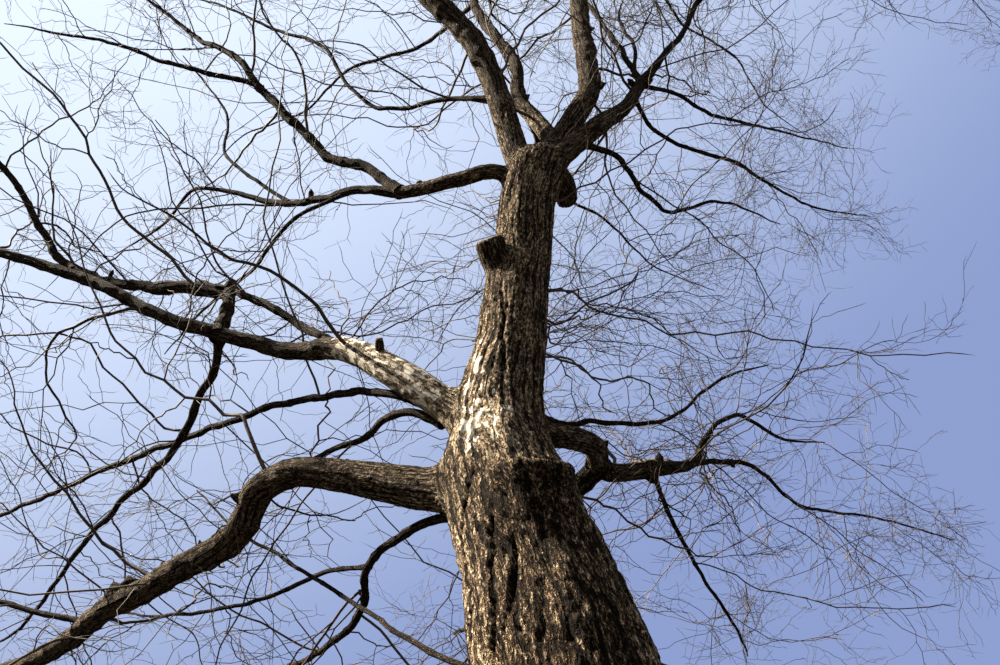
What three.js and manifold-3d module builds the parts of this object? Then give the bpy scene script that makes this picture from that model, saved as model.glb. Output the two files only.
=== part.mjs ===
// A bare winter tree standing in the ground. The part is in millimetres: +Z is up from the flat cut
// at ground level, +X is to the right and +Y is away from the viewer, as in the photograph.
// The limbs are given in metres and degrees. A heading of 0 is to the right, 90 is away from the
// viewer, 180 is to the left and 270 is toward the viewer. A climb of 90 is straight up.

import * as THREE from "three";
import Module from "manifold-3d";
import { mergeVertices } from "three/addons/utils/BufferGeometryUtils.js";

const wasm = await Module();
wasm.setup();

const METRE = 1000;
// The space between a limb and the wood it grows from, in mm.
const GAP = 0.3;
// The thickness of every limb at its tip, in mm.
const TIP = 8;
// One ring of corners for about this length of limb, in metres.
const RING_SPACING = 0.5;
// A limb ends in a point over this share of its length.
const POINT = 2e-3;
// Two shares of a limb's length closer than this are the same place.
const EVEN = 1e-9;
// Limbs thicker than this at their base, in mm, have the first number of sides, the others the second.
const STOUT = 60;
const STOUT_SIDES = 8;
const THIN_SIDES = 6;
// A limb whose chord rises more than this share of its length takes its sides' place from +X.
const STEEP = 0.8;
// Colours of the bark on stout and on thin limbs.
const STOUT_BARK = 0x6f5d4b;
const THIN_BARK = 0x5b4a3f;
const BARK_ROUGHNESS = 0.9;

// The trunk from the ground to its fork: height, how far the axis has moved right and away, and
// thickness, all in metres.
const TRUNK_STATIONS = [
  [0.0, 0.0, 0.0, 0.98],
  [0.12, 0.0, 0.0, 0.86],
  [0.3, -0.01, 0.01, 0.76],
  [0.6, -0.02, 0.02, 0.66],
  [1.0, -0.05, 0.03, 0.615],
  [1.5, -0.09, 0.05, 0.595],
  [2.0, -0.14, 0.09, 0.575],
  [2.5, -0.19, 0.13, 0.55],
  [3.0, -0.25, 0.2, 0.525],
  [3.3, -0.29, 0.28, 0.485],
  [3.56, -0.35, 0.35, 0.46],
  [3.8, -0.39, 0.45, 0.475],
  [3.98, -0.42, 0.5, 0.43],
  [4.14, -0.424, 0.53, 0.375],
  [4.4, -0.415, 0.57, 0.345],
  [4.7, -0.376, 0.6, 0.31],
  [5.1, -0.345, 0.62, 0.3],
  [5.47, -0.306, 0.63, 0.28],
  [5.94, -0.27, 0.65, 0.295],
  [6.14, -0.235, 0.65, 0.325],
  [6.27, -0.21, 0.648, 0.27],
  [6.34, -0.2, 0.645, 0.16],
];
const TRUNK_SIDES = 24;
// The root flare's swellings round the trunk's foot: how many, how deep as a share of the radius,
// the height where they have died away, and the heading of the first.
const FLARE_LOBES = 5;
const FLARE_DEPTH = 0.13;
const FLARE_HEIGHT = 1.1;
const FLARE_HEADING = 25;

// Each limb: what it grows from, where along that (height on the trunk, length along a limb), its
// thickness there in mm, and its legs of length, heading, climb and thickness at the leg's far end.
// A limb with "splitAfter" is two solids that meet after that many legs, at a bend.
// A limb with "blunt" is a stub that ends in a flat face.
const LIMBS = [
  // Low boughs on the left
  {
    name: "low_left_bough", from: "trunk", at: 3.78, girth: 190, splitAfter: 5,
    legs: [
      [0.4, 153, 24, 165], [0.37, 161, 24, 131], [0.27, 161, 19, 120], [0.2, 141, 3, 124],
      [0.23, 117, -12, 122], [1.13, 134, 8, 116],
      [1.26, 131, 9, 98], [1.0, 138, 15, 58], [1.1, 128, 22, TIP],
    ],
  },
  {
    name: "mid_left_bough", from: "trunk", at: 4.1, girth: 175,
    legs: [
      [0.63, 171, 46, 138], [0.43, 153, 44, 112], [0.36, 155, 24, 80], [0.8, 173, 26, 63],
      [0.68, 172, 36, 64], [0.79, 170, 30, 53], [1.1, 176, 34, 32], [1.1, 168, 22, TIP],
    ],
  },
  {
    name: "mid_left_riser", from: "mid_left_bough", at: 1.85, girth: 68,
    legs: [
      [0.45, 130, 74, 64], [0.34, 168, 20, 58], [0.72, 160, 30, 52], [0.48, 165, 40, 49],
      [0.76, 198, 52, 42], [0.8, 205, 40, 28], [0.9, 190, 30, TIP],
    ],
  },
  {
    name: "mid_left_side", from: "mid_left_bough", at: 1.06, girth: 44,
    legs: [
      [0.53, 147, 49, 40], [0.36, 165, 44, 41], [0.58, 145, 44, 38], [1.2, 140, 40, 24], [1.1, 150, 32, TIP],
    ],
  },
  {
    name: "mid_left_hanger", from: "mid_left_bough", at: 1.85, girth: 44,
    legs: [
      [0.22, 105, -6, 41], [0.3, 120, -15, 42], [0.31, 124, -19, 38], [0.52, 133, 0, 33],
      [0.62, 127, 5, 30], [1.38, 125, 6, 22], [0.9, 132, 14, TIP],
    ],
  },
  {
    name: "back_left_limb", from: "trunk", at: 4.2, girth: 48,
    legs: [
      [0.53, 163, 34, 36], [0.56, 141, 32, 34], [0.31, 147, 19, 34], [1.68, 140, 17, 34],
      [1.66, 140, 14, 26], [0.9, 136, 20, TIP],
    ],
  },
  {
    name: "back_left_shoot", from: "trunk", at: 4.1, girth: 42,
    legs: [[0.49, 159, 37, 36], [0.4, 133, 15, 28], [0.33, 132, 18, 23], [1.5, 128, 22, TIP]],
  },
  {
    name: "low_back_limb", from: "trunk", at: 3.7, girth: 44,
    legs: [
      [0.44, 138, 20, 36], [0.54, 122, 11, 34], [0.43, 101, 7, 35], [0.9, 116, 13, 31],
      [1.0, 120, 22, 20], [1.0, 112, 30, TIP],
    ],
  },
  {
    name: "low_back_side", from: "low_back_limb", at: 0.98, girth: 26,
    legs: [[0.36, 131, 24, 22], [0.53, 135, 11, 20], [0.77, 140, 15, 19], [0.9, 135, 25, TIP]],
  },
  {
    name: "low_back_shoot", from: "trunk", at: 2.85, girth: 22,
    legs: [
      [0.47, 149, 32, 19], [0.71, 129, 39, 17], [0.78, 136, 40, 16], [0.4, 144, 39, 14], [0.8, 140, 45, TIP],
    ],
  },
  // Low boughs on the right and behind
  {
    name: "right_bough", from: "trunk", at: 4.15, girth: 106,
    legs: [
      [0.24, 16, 13, 98], [0.27, 47, 22, 95], [0.21, 76, 14, 88], [0.43, 40, 28, 74], [0.36, 40, 34, 46],
      [0.41, 43, 58, 27], [0.59, 47, 43, 24], [0.58, 50, 20, 19], [0.8, 45, 30, TIP],
    ],
  },
  {
    name: "right_fork", from: "right_bough", at: 1.5, girth: 34,
    legs: [[0.85, 49, 32, 24], [0.66, 51, 9, 20], [0.9, 40, 22, 15], [0.9, 30, 8, TIP]],
  },
  {
    name: "right_back_limb", from: "right_bough", at: 1.12, girth: 30,
    legs: [[0.42, 73, 14, 24], [0.54, 69, 5, 22], [1.0, 65, 6, 18], [0.9, 72, 18, TIP]],
  },
  {
    name: "behind_trunk_limb", from: "right_bough", at: 0.7, girth: 84,
    legs: [[0.22, 125, -8, 76], [0.7, 104, 6, 60], [1.0, 98, 20, 38], [1.0, 108, 24, 24], [0.9, 96, 30, TIP]],
  },
  {
    name: "back_right_limb", from: "trunk", at: 4.5, girth: 34,
    legs: [
      [0.62, 65, 24, 28], [0.51, 40, 29, 26], [0.54, 42, 34, 22], [0.67, 24, 48, 18], [0.7, 35, 40, TIP],
    ],
  },
  // The upper bough on the left
  {
    name: "upper_left_bough", from: "trunk", at: 6.02, girth: 98,
    legs: [
      [0.21, 196, 28, 86], [0.24, 163, 7, 82], [0.41, 152, 21, 70], [0.28, 160, 33, 52], [0.86, 145, 32, 45],
      [0.75, 160, 38, 31], [0.38, 156, 32, 26], [0.46, 130, 12, 22], [1.0, 138, 22, TIP],
    ],
  },
  {
    name: "upper_left_riser", from: "upper_left_bough", at: 0.86, girth: 66,
    legs: [
      [0.48, 168, 54, 61], [0.37, 165, 42, 57], [0.25, 185, 55, 57], [0.81, 182, 56, 55], [0.34, 188, 61, 43],
      [0.65, 170, 50, 37], [0.65, 180, 51, 28], [0.8, 188, 46, TIP],
    ],
  },
  {
    name: "upper_left_side", from: "upper_left_riser", at: 1.91, girth: 42,
    legs: [[0.95, 174, 32, 30], [0.49, 176, 38, 27], [0.74, 172, 33, 22], [0.78, 172, 31, TIP]],
  },
  {
    name: "upper_left_drooper", from: "upper_left_bough", at: 1.3, girth: 30,
    legs: [[0.5, 146, 8, 26], [0.45, 130, -6, 23], [0.4, 140, -2, 20], [0.9, 128, 14, TIP]],
  },
  {
    name: "upper_left_shoot", from: "upper_left_bough", at: 1.95, girth: 28,
    legs: [[0.91, 174, 50, 23], [0.6, 174, 78, 20], [1.0, 188, 58, TIP]],
  },
  // The fork at the head of the trunk
  {
    name: "left_leader", from: "trunk", at: 6.16, girth: 175, splitAfter: 5,
    legs: [
      [0.3, 174, 70, 156], [0.46, 215, 77, 150], [0.53, 216, 71, 147], [0.53, 200, 57, 138],
      [0.3, 198, 50, 128], [1.0, 215, 64, 98], [1.0, 188, 68, 62], [1.3, 205, 66, TIP],
    ],
  },
  {
    name: "high_left_limb", from: "left_leader", at: 0.82, girth: 38,
    legs: [
      [0.46, 153, 36, 32], [0.37, 149, 33, 29], [0.29, 159, 31, 28], [0.37, 180, 54, 27], [0.66, 184, 65, 26],
      [0.64, 171, 45, 24], [0.82, 173, 47, 18], [0.9, 165, 45, TIP],
    ],
  },
  {
    name: "back_leader", from: "trunk", at: 6.18, girth: 118,
    legs: [
      [0.42, 22, 76, 108], [0.36, 135, 76, 104], [0.32, 158, 71, 94], [0.55, 105, 86, 84],
      [1.24, 150, 75, 76], [1.2, 140, 80, 50], [1.3, 110, 66, TIP],
    ],
  },
  {
    name: "centre_leader", from: "trunk", at: 6.14, girth: 146,
    legs: [
      [0.66, 353, 67, 136], [0.37, 10, 72, 136], [0.5, 56, 86, 136], [1.3, 67, 87, 122],
      [1.2, 20, 80, 90], [1.2, 80, 82, 52], [1.35, 350, 79, TIP],
    ],
  },
  {
    name: "right_leader", from: "trunk", at: 6.08, girth: 140,
    legs: [
      [0.65, 352, 53, 117], [0.41, 22, 59, 88], [0.49, 16, 68, 72], [0.33, 353, 62, 44], [0.44, 10, 65, 40],
      [0.74, 7, 70, 34], [1.1, 20, 58, 22], [1.0, 0, 62, TIP],
    ],
  },
  {
    name: "right_leader_inner", from: "right_leader", at: 1.52, girth: 42,
    legs: [[0.22, 170, 80, 38], [0.71, 127, 80, 36], [0.71, 153, 79, 31], [1.2, 100, 70, TIP]],
  },
  {
    name: "right_leader_upright", from: "right_leader", at: 1.54, girth: 32,
    legs: [[0.24, 150, 74, 28], [0.4, 20, 80, 26], [0.55, 120, 82, 24], [1.1, 60, 74, TIP]],
  },
  {
    name: "right_leader_side", from: "right_leader", at: 1.48, girth: 36,
    legs: [[0.4, 34, 36, 28], [0.47, 44, 32, 27], [1.1, 35, 35, 19], [1.0, 28, 25, TIP]],
  },
  {
    name: "right_leader_back", from: "right_leader", at: 1.3, girth: 34,
    legs: [[0.3, 62, 22, 28], [0.45, 49, 30, 28], [0.72, 34, 25, 27], [1.0, 40, 20, 18], [1.0, 30, 28, TIP]],
  },
  {
    name: "right_leader_low", from: "right_leader", at: 0.45, girth: 38,
    legs: [[0.27, 32, 20, 34], [0.5, 61, 28, 31], [0.45, 53, 26, 27], [0.67, 27, 42, 21], [1.0, 40, 30, TIP]],
  },
  // Sawn and broken stubs
  {
    name: "collar_stub", from: "trunk", at: 3.42, girth: 300, blunt: true,
    legs: [[0.2, 270, 40, 295], [0.1, 270, 62, 285]],
  },
  {
    name: "upper_stub", from: "trunk", at: 5.1, girth: 140, blunt: true,
    legs: [[0.15, 223, 50, 130], [0.09, 223, 60, 122], [0.08, 245, 36, 114]],
  },
  {
    name: "hanging_stub", from: "trunk", at: 6.12, girth: 150, blunt: true,
    legs: [[0.15, 5, 25, 146], [0.2, 70, 8, 122]],
  },
];

// Boughs out of the photograph that finish the crown all round. Each is a limb that sways to either
// side of its heading and sinks or rises by "sag" degrees from leg to leg.
const CROWN_BOUGHS = [
  {
    name: "front_bough", from: "left_leader", at: 2.15, girth: 92,
    reach: 5.0, heading: 262, climb: 24, sag: -15,
  },
  {
    name: "front_left_bough", from: "left_leader", at: 2.75, girth: 66,
    reach: 4.5, heading: 220, climb: 14, sag: -10,
  },
  {
    name: "front_right_bough", from: "centre_leader", at: 3.05, girth: 78,
    reach: 5.0, heading: 305, climb: 20, sag: -14,
  },
  {
    name: "right_arch", from: "centre_leader", at: 3.0, girth: 76,
    reach: 5.6, heading: 354, climb: 20, sag: -13,
  },
  {
    name: "back_bough", from: "back_leader", at: 1.25, girth: 74,
    reach: 5.0, heading: 86, climb: 40, sag: -5,
  },
  {
    name: "back_left_bough", from: "back_leader", at: 3.2, girth: 40,
    reach: 4.2, heading: 142, climb: 26, sag: -4,
  },
  {
    name: "right_front_bough", from: "right_leader", at: 2.95, girth: 32,
    reach: 3.6, heading: 336, climb: 24, sag: -9,
  },
  {
    name: "back_right_bough", from: "centre_leader", at: 3.9, girth: 38,
    reach: 4.3, heading: 46, climb: 32, sag: -6,
  },
  {
    name: "high_left_bough", from: "left_leader", at: 3.3, girth: 44,
    reach: 3.4, heading: 172, climb: 34, sag: -4,
  },
  {
    name: "high_front_bough", from: "centre_leader", at: 4.6, girth: 46,
    reach: 3.3, heading: 275, climb: 40, sag: -4,
  },
  {
    name: "high_right_bough", from: "centre_leader", at: 4.9, girth: 40,
    reach: 3.0, heading: 8, climb: 42, sag: -4,
  },
  {
    name: "high_back_bough", from: "back_leader", at: 4.1, girth: 36,
    reach: 2.6, heading: 70, climb: 44, sag: -2,
  },
];
const CROWN_LEGS = 5;
// How far a crown bough sways off its heading, in degrees, and how its thickness falls along it:
// 1 is evenly, and less than 1 is faster near its base.
const SWAY = 9;
const THINNING = 0.9;

// Side limbs that leave a bough alternately to the left and the right of it.
const SIDE_LIMBS = [
  { from: "front_bough", at: 1.3, girth: 36, reach: 2.9, turn: 52, climb: -4 },
  { from: "front_bough", at: 2.3, girth: 30, reach: 2.5, turn: -50, climb: -16 },
  { from: "front_left_bough", at: 1.4, girth: 30, reach: 2.4, turn: 44, climb: -14 },
  { from: "front_right_bough", at: 1.4, girth: 32, reach: 2.6, turn: 46, climb: -12 },
  { from: "right_arch", at: 1.6, girth: 34, reach: 2.8, turn: -46, climb: -10 },
  { from: "right_arch", at: 2.6, girth: 30, reach: 2.4, turn: 44, climb: -14 },
  { from: "back_bough", at: 1.9, girth: 32, reach: 2.6, turn: -48, climb: 12 },
  { from: "back_bough", at: 2.8, girth: 26, reach: 2.2, turn: 46, climb: 10 },
  { from: "low_left_bough", at: 3.0, girth: 38, reach: 2.6, turn: 44, climb: 20 },
  { from: "low_left_bough", at: 4.2, girth: 30, reach: 2.0, turn: -44, climb: 22 },
];
const SIDE_LEGS = 3;

const radians = THREE.MathUtils.degToRad;

function direction(heading, climb) {
  const across = Math.cos(radians(climb));
  return new THREE.Vector3(
    across * Math.cos(radians(heading)),
    across * Math.sin(radians(heading)),
    Math.sin(radians(climb)),
  );
}

// The legs of a limb that sways about its heading and thins evenly to its tip.
function swayingLegs({ reach, heading, climb, sag = 0, girth }, count) {
  return Array.from({ length: count }, (_, i) => [
    reach / count,
    heading + (i % 2 ? SWAY : -SWAY),
    climb + sag * i,
    THREE.MathUtils.lerp(girth, TIP, ((i + 1) / count) ** THINNING),
  ]);
}

// A lathe solid whose corners are then moved to their place: a profile's height is its share of the axis.
function turnedSolid(profile, sides, place) {
  const geometry = new THREE.LatheGeometry(profile, sides);
  geometry.deleteAttribute("normal");
  geometry.deleteAttribute("uv");
  const merged = mergeVertices(geometry);
  const position = merged.getAttribute("position");
  const point = new THREE.Vector3();
  for (let i = 0; i < position.count; i++) {
    point.fromBufferAttribute(position, i);
    place(point);
    position.setXYZ(i, point.x, point.y, point.z);
  }
  return new wasm.Manifold(
    new wasm.Mesh({
      numProp: 3,
      vertProperties: position.array,
      triVerts: new Uint32Array(merged.index.array),
    }),
  );
}

// The trunk's rings are level, and each is moved out along its axis by the curve.
const trunkCurve = new THREE.CatmullRomCurve3(
  TRUNK_STATIONS.map(([height, right, away]) => new THREE.Vector3(right, away, height).multiplyScalar(METRE)),
);

function trunkSolid(grow) {
  const last = TRUNK_STATIONS.length - 1;
  const profile = TRUNK_STATIONS.map(
    ([, , , thickness], i) => new THREE.Vector2((thickness * METRE) / 2 + grow, i / last),
  );
  profile.unshift(new THREE.Vector2(0, 0));
  profile.push(new THREE.Vector2(0, 1));
  return turnedSolid(profile, TRUNK_SIDES, (point) => {
    const axis = trunkCurve.getPoint(point.y);
    const fade = Math.max(0, 1 - axis.z / (FLARE_HEIGHT * METRE)) ** 2;
    const around = Math.atan2(point.x, point.z);
    const lobe = 1 + FLARE_DEPTH * fade * Math.cos(FLARE_LOBES * (around - radians(FLARE_HEADING)));
    point.set(axis.x + point.z * lobe, axis.y + point.x * lobe, axis.z);
  });
}

// A limb's axis through the ends of its legs, with the share of the curve and the radius at each ring.
function limbAxis(start, girth, legs) {
  const ends = [start.clone()];
  const rings = [{ share: 0, radius: girth / 2 }];
  let thickness = girth;
  legs.forEach(([length, heading, climb, endThickness], leg) => {
    ends.push(ends[leg].clone().addScaledVector(direction(heading, climb), length * METRE));
    const steps = Math.max(1, Math.round(length / RING_SPACING));
    for (let step = 1; step <= steps; step++) {
      rings.push({
        share: (leg + step / steps) / legs.length,
        radius: THREE.MathUtils.lerp(thickness, endThickness, step / steps) / 2,
      });
    }
    thickness = endThickness;
  });
  const curve = new THREE.CatmullRomCurve3(ends);
  const chord = ends[ends.length - 1].clone().sub(start).normalize();
  const upright = Math.abs(chord.z) > STEEP ? new THREE.Vector3(1, 0, 0) : new THREE.Vector3(0, 0, 1);
  return { curve, rings, side: chord.cross(upright).normalize() };
}

function limbSolid({ curve, side }, rings, endShare, sides, grow) {
  const profile = rings.map(({ share, radius }) => new THREE.Vector2(radius + grow, share));
  profile.unshift(new THREE.Vector2(0, rings[0].share));
  profile.push(new THREE.Vector2(0, endShare));
  return turnedSolid(profile, sides, (point) => {
    const axis = curve.getPoint(point.y);
    const along = curve.getTangent(point.y);
    const across = side.clone().addScaledVector(along, -side.dot(along)).normalize();
    const other = along.clone().cross(across);
    point.copy(axis.addScaledVector(across, point.z).addScaledVector(other, point.x));
  });
}

// Every limb made so far by name: its axis, and its solids a little thicker for cutting others.
const grown = new Map();
const nodes = new THREE.Group();

function barkColour(girth) {
  return girth > STOUT ? STOUT_BARK : THIN_BARK;
}

// The largest piece of a solid as a named mesh: what is left on the far side of a cut is dropped.
function addNode(name, solid, colour) {
  const pieces = solid.decompose().sort((a, b) => b.volume() - a.volume());
  const mesh = pieces[0].getMesh();
  const geometry = new THREE.BufferGeometry();
  geometry.setAttribute("position", new THREE.BufferAttribute(new Float32Array(mesh.vertProperties), 3));
  geometry.setIndex(new THREE.BufferAttribute(new Uint32Array(mesh.triVerts), 1));
  geometry.computeVertexNormals();
  const material = new THREE.MeshStandardMaterial({ color: colour, roughness: BARK_ROUGHNESS, metalness: 0 });
  const node = new THREE.Mesh(geometry, material);
  node.name = name;
  nodes.add(node);
}

// The point where a limb begins, on the axis of what it grows from.
function startPoint(from, at) {
  if (from !== "trunk") {
    const { curve } = grown.get(from).axis;
    return curve.getPointAt((at * METRE) / curve.getLength());
  }
  const above = TRUNK_STATIONS.findIndex(([height]) => height > at);
  const [low, high] = [TRUNK_STATIONS[above - 1], TRUNK_STATIONS[above]];
  const share = (at - low[0]) / (high[0] - low[0]);
  return trunkCurve.getPoint((above - 1 + share) / (TRUNK_STATIONS.length - 1));
}

// A limb's rings as one part, or as two that meet with a gap at its bend.
function splitRings(name, { curve, rings }, bend) {
  const inner = rings.filter(({ share }) => share <= bend + EVEN);
  const meeting = inner[inner.length - 1];
  const parts = [{ name, rings: inner, endShare: meeting.share }];
  if (bend < 1) {
    const first = { share: bend + GAP / curve.getLength(), radius: meeting.radius };
    const outer = rings.filter(({ share }) => share > bend + EVEN);
    parts.push({ name: name + "_outer", rings: [first, ...outer], endShare: 1 });
  }
  return parts;
}

// A limb is cut back to the surface of what it grows from, and clear of its neighbours there.
function addLimb({ name, from, at, girth, legs, splitAfter = legs.length, blunt }) {
  const axis = limbAxis(startPoint(from, at), girth, legs);
  const sides = girth > STOUT ? STOUT_SIDES : THIN_SIDES;
  const parts = splitRings(name, axis, splitAfter / legs.length);
  if (!blunt) parts[parts.length - 1].rings.at(-1).share -= POINT;
  const cutters = [];
  for (const part of parts) {
    let solid = limbSolid(axis, part.rings, part.endShare, sides, 0);
    for (const earlier of grown.values()) {
      for (const cutter of earlier.cutters) solid = solid.subtract(cutter);
    }
    addNode(part.name, solid, barkColour(girth));
    cutters.push(limbSolid(axis, part.rings, part.endShare, sides, GAP));
  }
  grown.set(name, { axis, cutters });
}

addNode("trunk", trunkSolid(0), barkColour(METRE));
grown.set("trunk", { cutters: [trunkSolid(GAP)] });
LIMBS.forEach(addLimb);
CROWN_BOUGHS.forEach((bough) => addLimb({ ...bough, legs: swayingLegs(bough, CROWN_LEGS) }));
SIDE_LIMBS.forEach((limb) => {
  const { curve } = grown.get(limb.from).axis;
  const along = curve.getTangentAt((limb.at * METRE) / curve.getLength());
  const heading = THREE.MathUtils.radToDeg(Math.atan2(along.y, along.x)) + limb.turn;
  const name = limb.from + (limb.turn > 0 ? "_side_a" : "_side_b");
  addLimb({ ...limb, name, legs: swayingLegs({ ...limb, heading }, SIDE_LEGS) });
});

export default nodes;
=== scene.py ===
"""The looks of the bare winter tree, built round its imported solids.

Lengths are in metres in the part's own frame: +Z is up from the ground, +X is to the right and +Y is
away from the viewer. Each limb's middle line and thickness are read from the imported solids. The
trunk and the feet of the stout boughs share one skin of bark, every limb is a tube of bark that
grows out of it, and shoots and twigs grow on from the limbs by a seeded rule."""

import math

import bpy
import numpy as np
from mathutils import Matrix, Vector


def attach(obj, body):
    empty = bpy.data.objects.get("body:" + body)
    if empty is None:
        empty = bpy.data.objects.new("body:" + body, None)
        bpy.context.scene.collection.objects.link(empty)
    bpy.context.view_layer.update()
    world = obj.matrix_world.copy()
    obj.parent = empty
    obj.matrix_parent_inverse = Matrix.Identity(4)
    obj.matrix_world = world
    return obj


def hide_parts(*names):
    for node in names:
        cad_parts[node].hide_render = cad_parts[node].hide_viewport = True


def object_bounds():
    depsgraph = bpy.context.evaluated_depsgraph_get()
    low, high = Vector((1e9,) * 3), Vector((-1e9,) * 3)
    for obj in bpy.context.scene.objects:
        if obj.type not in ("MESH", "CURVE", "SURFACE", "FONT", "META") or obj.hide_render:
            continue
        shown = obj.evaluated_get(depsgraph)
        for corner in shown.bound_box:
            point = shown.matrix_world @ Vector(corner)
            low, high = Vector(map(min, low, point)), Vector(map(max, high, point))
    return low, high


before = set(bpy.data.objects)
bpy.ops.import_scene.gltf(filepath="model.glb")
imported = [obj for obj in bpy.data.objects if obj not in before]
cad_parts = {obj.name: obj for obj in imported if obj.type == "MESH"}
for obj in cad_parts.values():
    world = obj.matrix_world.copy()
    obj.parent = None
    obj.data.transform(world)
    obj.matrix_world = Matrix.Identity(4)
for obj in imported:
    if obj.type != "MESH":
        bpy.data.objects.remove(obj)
cad_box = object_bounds()

FULL_TURN = 2 * math.pi
UP = np.array([0.0, 0.0, 1.0])

# The boughs whose feet share the trunk's skin, and the sawn stubs on it.
SKIN_BOUGHS = (
    "low_left_bough",
    "mid_left_bough",
    "right_bough",
    "upper_left_bough",
    "left_leader",
    "back_leader",
    "centre_leader",
    "right_leader",
)
STUBS = ("collar_stub", "upper_stub", "hanging_stub")
# How much of a bough's length, from the trunk's middle, is in the shared skin.
SKIN_REACH = 0.9
# A bough's own tube starts this far before the skin ends.
OVERLAP = 0.08
# The size of the skin's mesh, and how much finer it is across the trunk than along it.
VOXEL = 0.0078
SQUASH = 0.7
# The skin swells where a limb leaves the trunk over this many times the limb's radius.
JOINT_SPREAD = 0.95
# The same for the stubs.
STUB_SPREAD = 0.4
# Further than any two places that are compared.
FAR = 9.0


def unit(vectors):
    return vectors / np.maximum(np.linalg.norm(vectors, axis=-1, keepdims=True), 1e-12)


def square_to(vectors, ways):
    """Unit vectors square to unit ways, from vectors that lean along them."""
    return unit(vectors - ways * (vectors * ways).sum(axis=-1)[..., None])


def blend(low, high, share):
    return low + (high - low) * share


def eased(values, low, high):
    """0 below low, 1 above high, and a smooth rise between."""
    share = np.clip((values - low) / (high - low), 0, 1)
    return share * share * (3 - 2 * share)


def even_turns(sides):
    return FULL_TURN * np.arange(sides) / sides


# Noise that repeats round a limb

# Large odd numbers that scramble a place, its seed and what comes of them.
SCRAMBLE_PLACE = (0x9E3779B1, 0x85EBCA77)
SCRAMBLE_SEED = (0x27D4EB2F, 0x165667B1)
SCRAMBLE_MORE = 0xC2B2AE3D
WORD = 0xFFFFFFFF


def scrambled(across, along, seed):
    """A number from 0 to 1 for each whole-number place, the same in each run."""
    times, plus = SCRAMBLE_SEED
    mixed = np.full(np.shape(across), (seed * times + plus) & WORD, np.uint32)
    for place, prime in zip((across, along), SCRAMBLE_PLACE):
        mixed ^= np.asarray(place, np.int64).astype(np.uint32) * np.uint32(prime)
        mixed ^= mixed >> np.uint32(15)
        mixed *= np.uint32(SCRAMBLE_MORE)
        mixed ^= mixed >> np.uint32(13)
    return mixed / 2.0**32


def smooth_noise(across, along, period, seed):
    """Noise from -1 to 1 that repeats after period steps across."""
    cell_across, cell_along = np.floor(across), np.floor(along)
    part_across = eased(across - cell_across, 0, 1)
    part_along = eased(along - cell_along, 0, 1)
    rows = []
    for next_across in (0, 1):
        column = (cell_across + next_across) % period
        near = scrambled(column, cell_along, seed)
        far = scrambled(column, cell_along + 1, seed)
        rows.append(blend(near, far, part_along))
    return 2 * blend(rows[0], rows[1], part_across) - 1


def rough_noise(across, along, period, seed, octaves=3):
    """Noise with finer and weaker noise on it."""
    total = 0
    for octave in range(octaves):
        scale = 2**octave
        total = total + smooth_noise(across * scale, along * scale, period * scale, seed + octave) / scale
    return total / 1.6


# A plate's middle stays this far from the edges of its cell, as a share of the cell.
CELL_MARGIN = 0.1
CELL_ROOM = 1 - 2 * CELL_MARGIN


def plate_cells(across, along, period, seed):
    """Cells like plates of bark: how far each place is from the nearest gap between plates, each
    plate's own number from 0 to 1, and how far the place is above its plate's middle."""
    nearest = np.full(np.shape(across), FAR)
    second = nearest.copy()
    own = np.zeros(np.shape(across))
    above = own.copy()
    cell_across, cell_along = np.floor(across), np.floor(along)
    for step_across in (-1, 0, 1):
        for step_along in (-1, 0, 1):
            column = cell_across + step_across
            row = cell_along + step_along
            wrapped = column % period
            off_across = column + CELL_MARGIN + CELL_ROOM * scrambled(wrapped, row, seed) - across
            off_along = row + CELL_MARGIN + CELL_ROOM * scrambled(wrapped, row, seed + 1) - along
            away = np.hypot(off_across, off_along)
            closer = away < nearest
            second = np.where(closer, nearest, np.minimum(second, away))
            own = np.where(closer, scrambled(wrapped, row, seed + 2), own)
            above = np.where(closer, -off_along, above)
            nearest = np.where(closer, away, nearest)
    return second - nearest, own, above


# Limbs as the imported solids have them

# A limb's rings have one of these counts of corners, and its end is a corner near all its neighbours.
RING_SIZES = (6, 8)
END_REACH = 0.03
TOUCHING = 1e-3
# The two solids of a bough that is split at its bend meet within this.
SPLIT_GAP = 0.01
LINE_STEP = 0.02


def numbers_of(items, name, width, kind):
    """A row of numbers for each of a mesh's points, corners or triangles."""
    numbers = np.empty((len(items), width), kind)
    items.foreach_get(name, numbers.ravel())
    return numbers


def welded(name):
    """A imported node's corners and triangles, with the corners that share a place made one."""
    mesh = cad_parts[name].data
    mesh.calc_loop_triangles()
    points = numbers_of(mesh.vertices, "co", 3, np.float32)
    corners = numbers_of(mesh.loop_triangles, "vertices", 3, np.int32)
    single, index = np.unique(np.round(points, 5), axis=0, return_inverse=True)
    return single.astype(float), index.reshape(-1)[corners]


def edges_of(faces):
    """Every edge of faces as a pair of corners, in the faces' own direction."""
    after = np.roll(faces, -1, axis=1)
    return np.stack([faces.T.ravel(), after.T.ravel()], axis=1)


def linked_pairs(faces):
    pairs = edges_of(faces)
    return np.concatenate([pairs, pairs[:, ::-1]])


def steps_from(seeds, pairs, count):
    """How many edges away from the seeds each corner is."""
    steps = np.full(count, -1)
    steps[seeds] = 0
    now = 0
    while True:
        reached = pairs[steps[pairs[:, 0]] == now, 1]
        reached = np.unique(reached[steps[reached] < 0])
        if not len(reached):
            return steps
        now += 1
        steps[reached] = now


def whole_rings(points, steps):
    """The middles and radii of the whole rings that follow a limb's end, and the last one's step."""
    size = int((steps == 1).sum())
    middles, radii, last = [], [], 0
    if size in RING_SIZES:
        first = 0 if (steps == 0).sum() == size else 1
        for at in range(first, steps.max() + 1):
            ring = points[steps == at]
            if len(ring) != size:
                break
            middles.append(ring.mean(axis=0))
            radii.append(np.linalg.norm(ring - middles[-1], axis=1).mean())
            last = at
    return middles, radii, last


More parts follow.
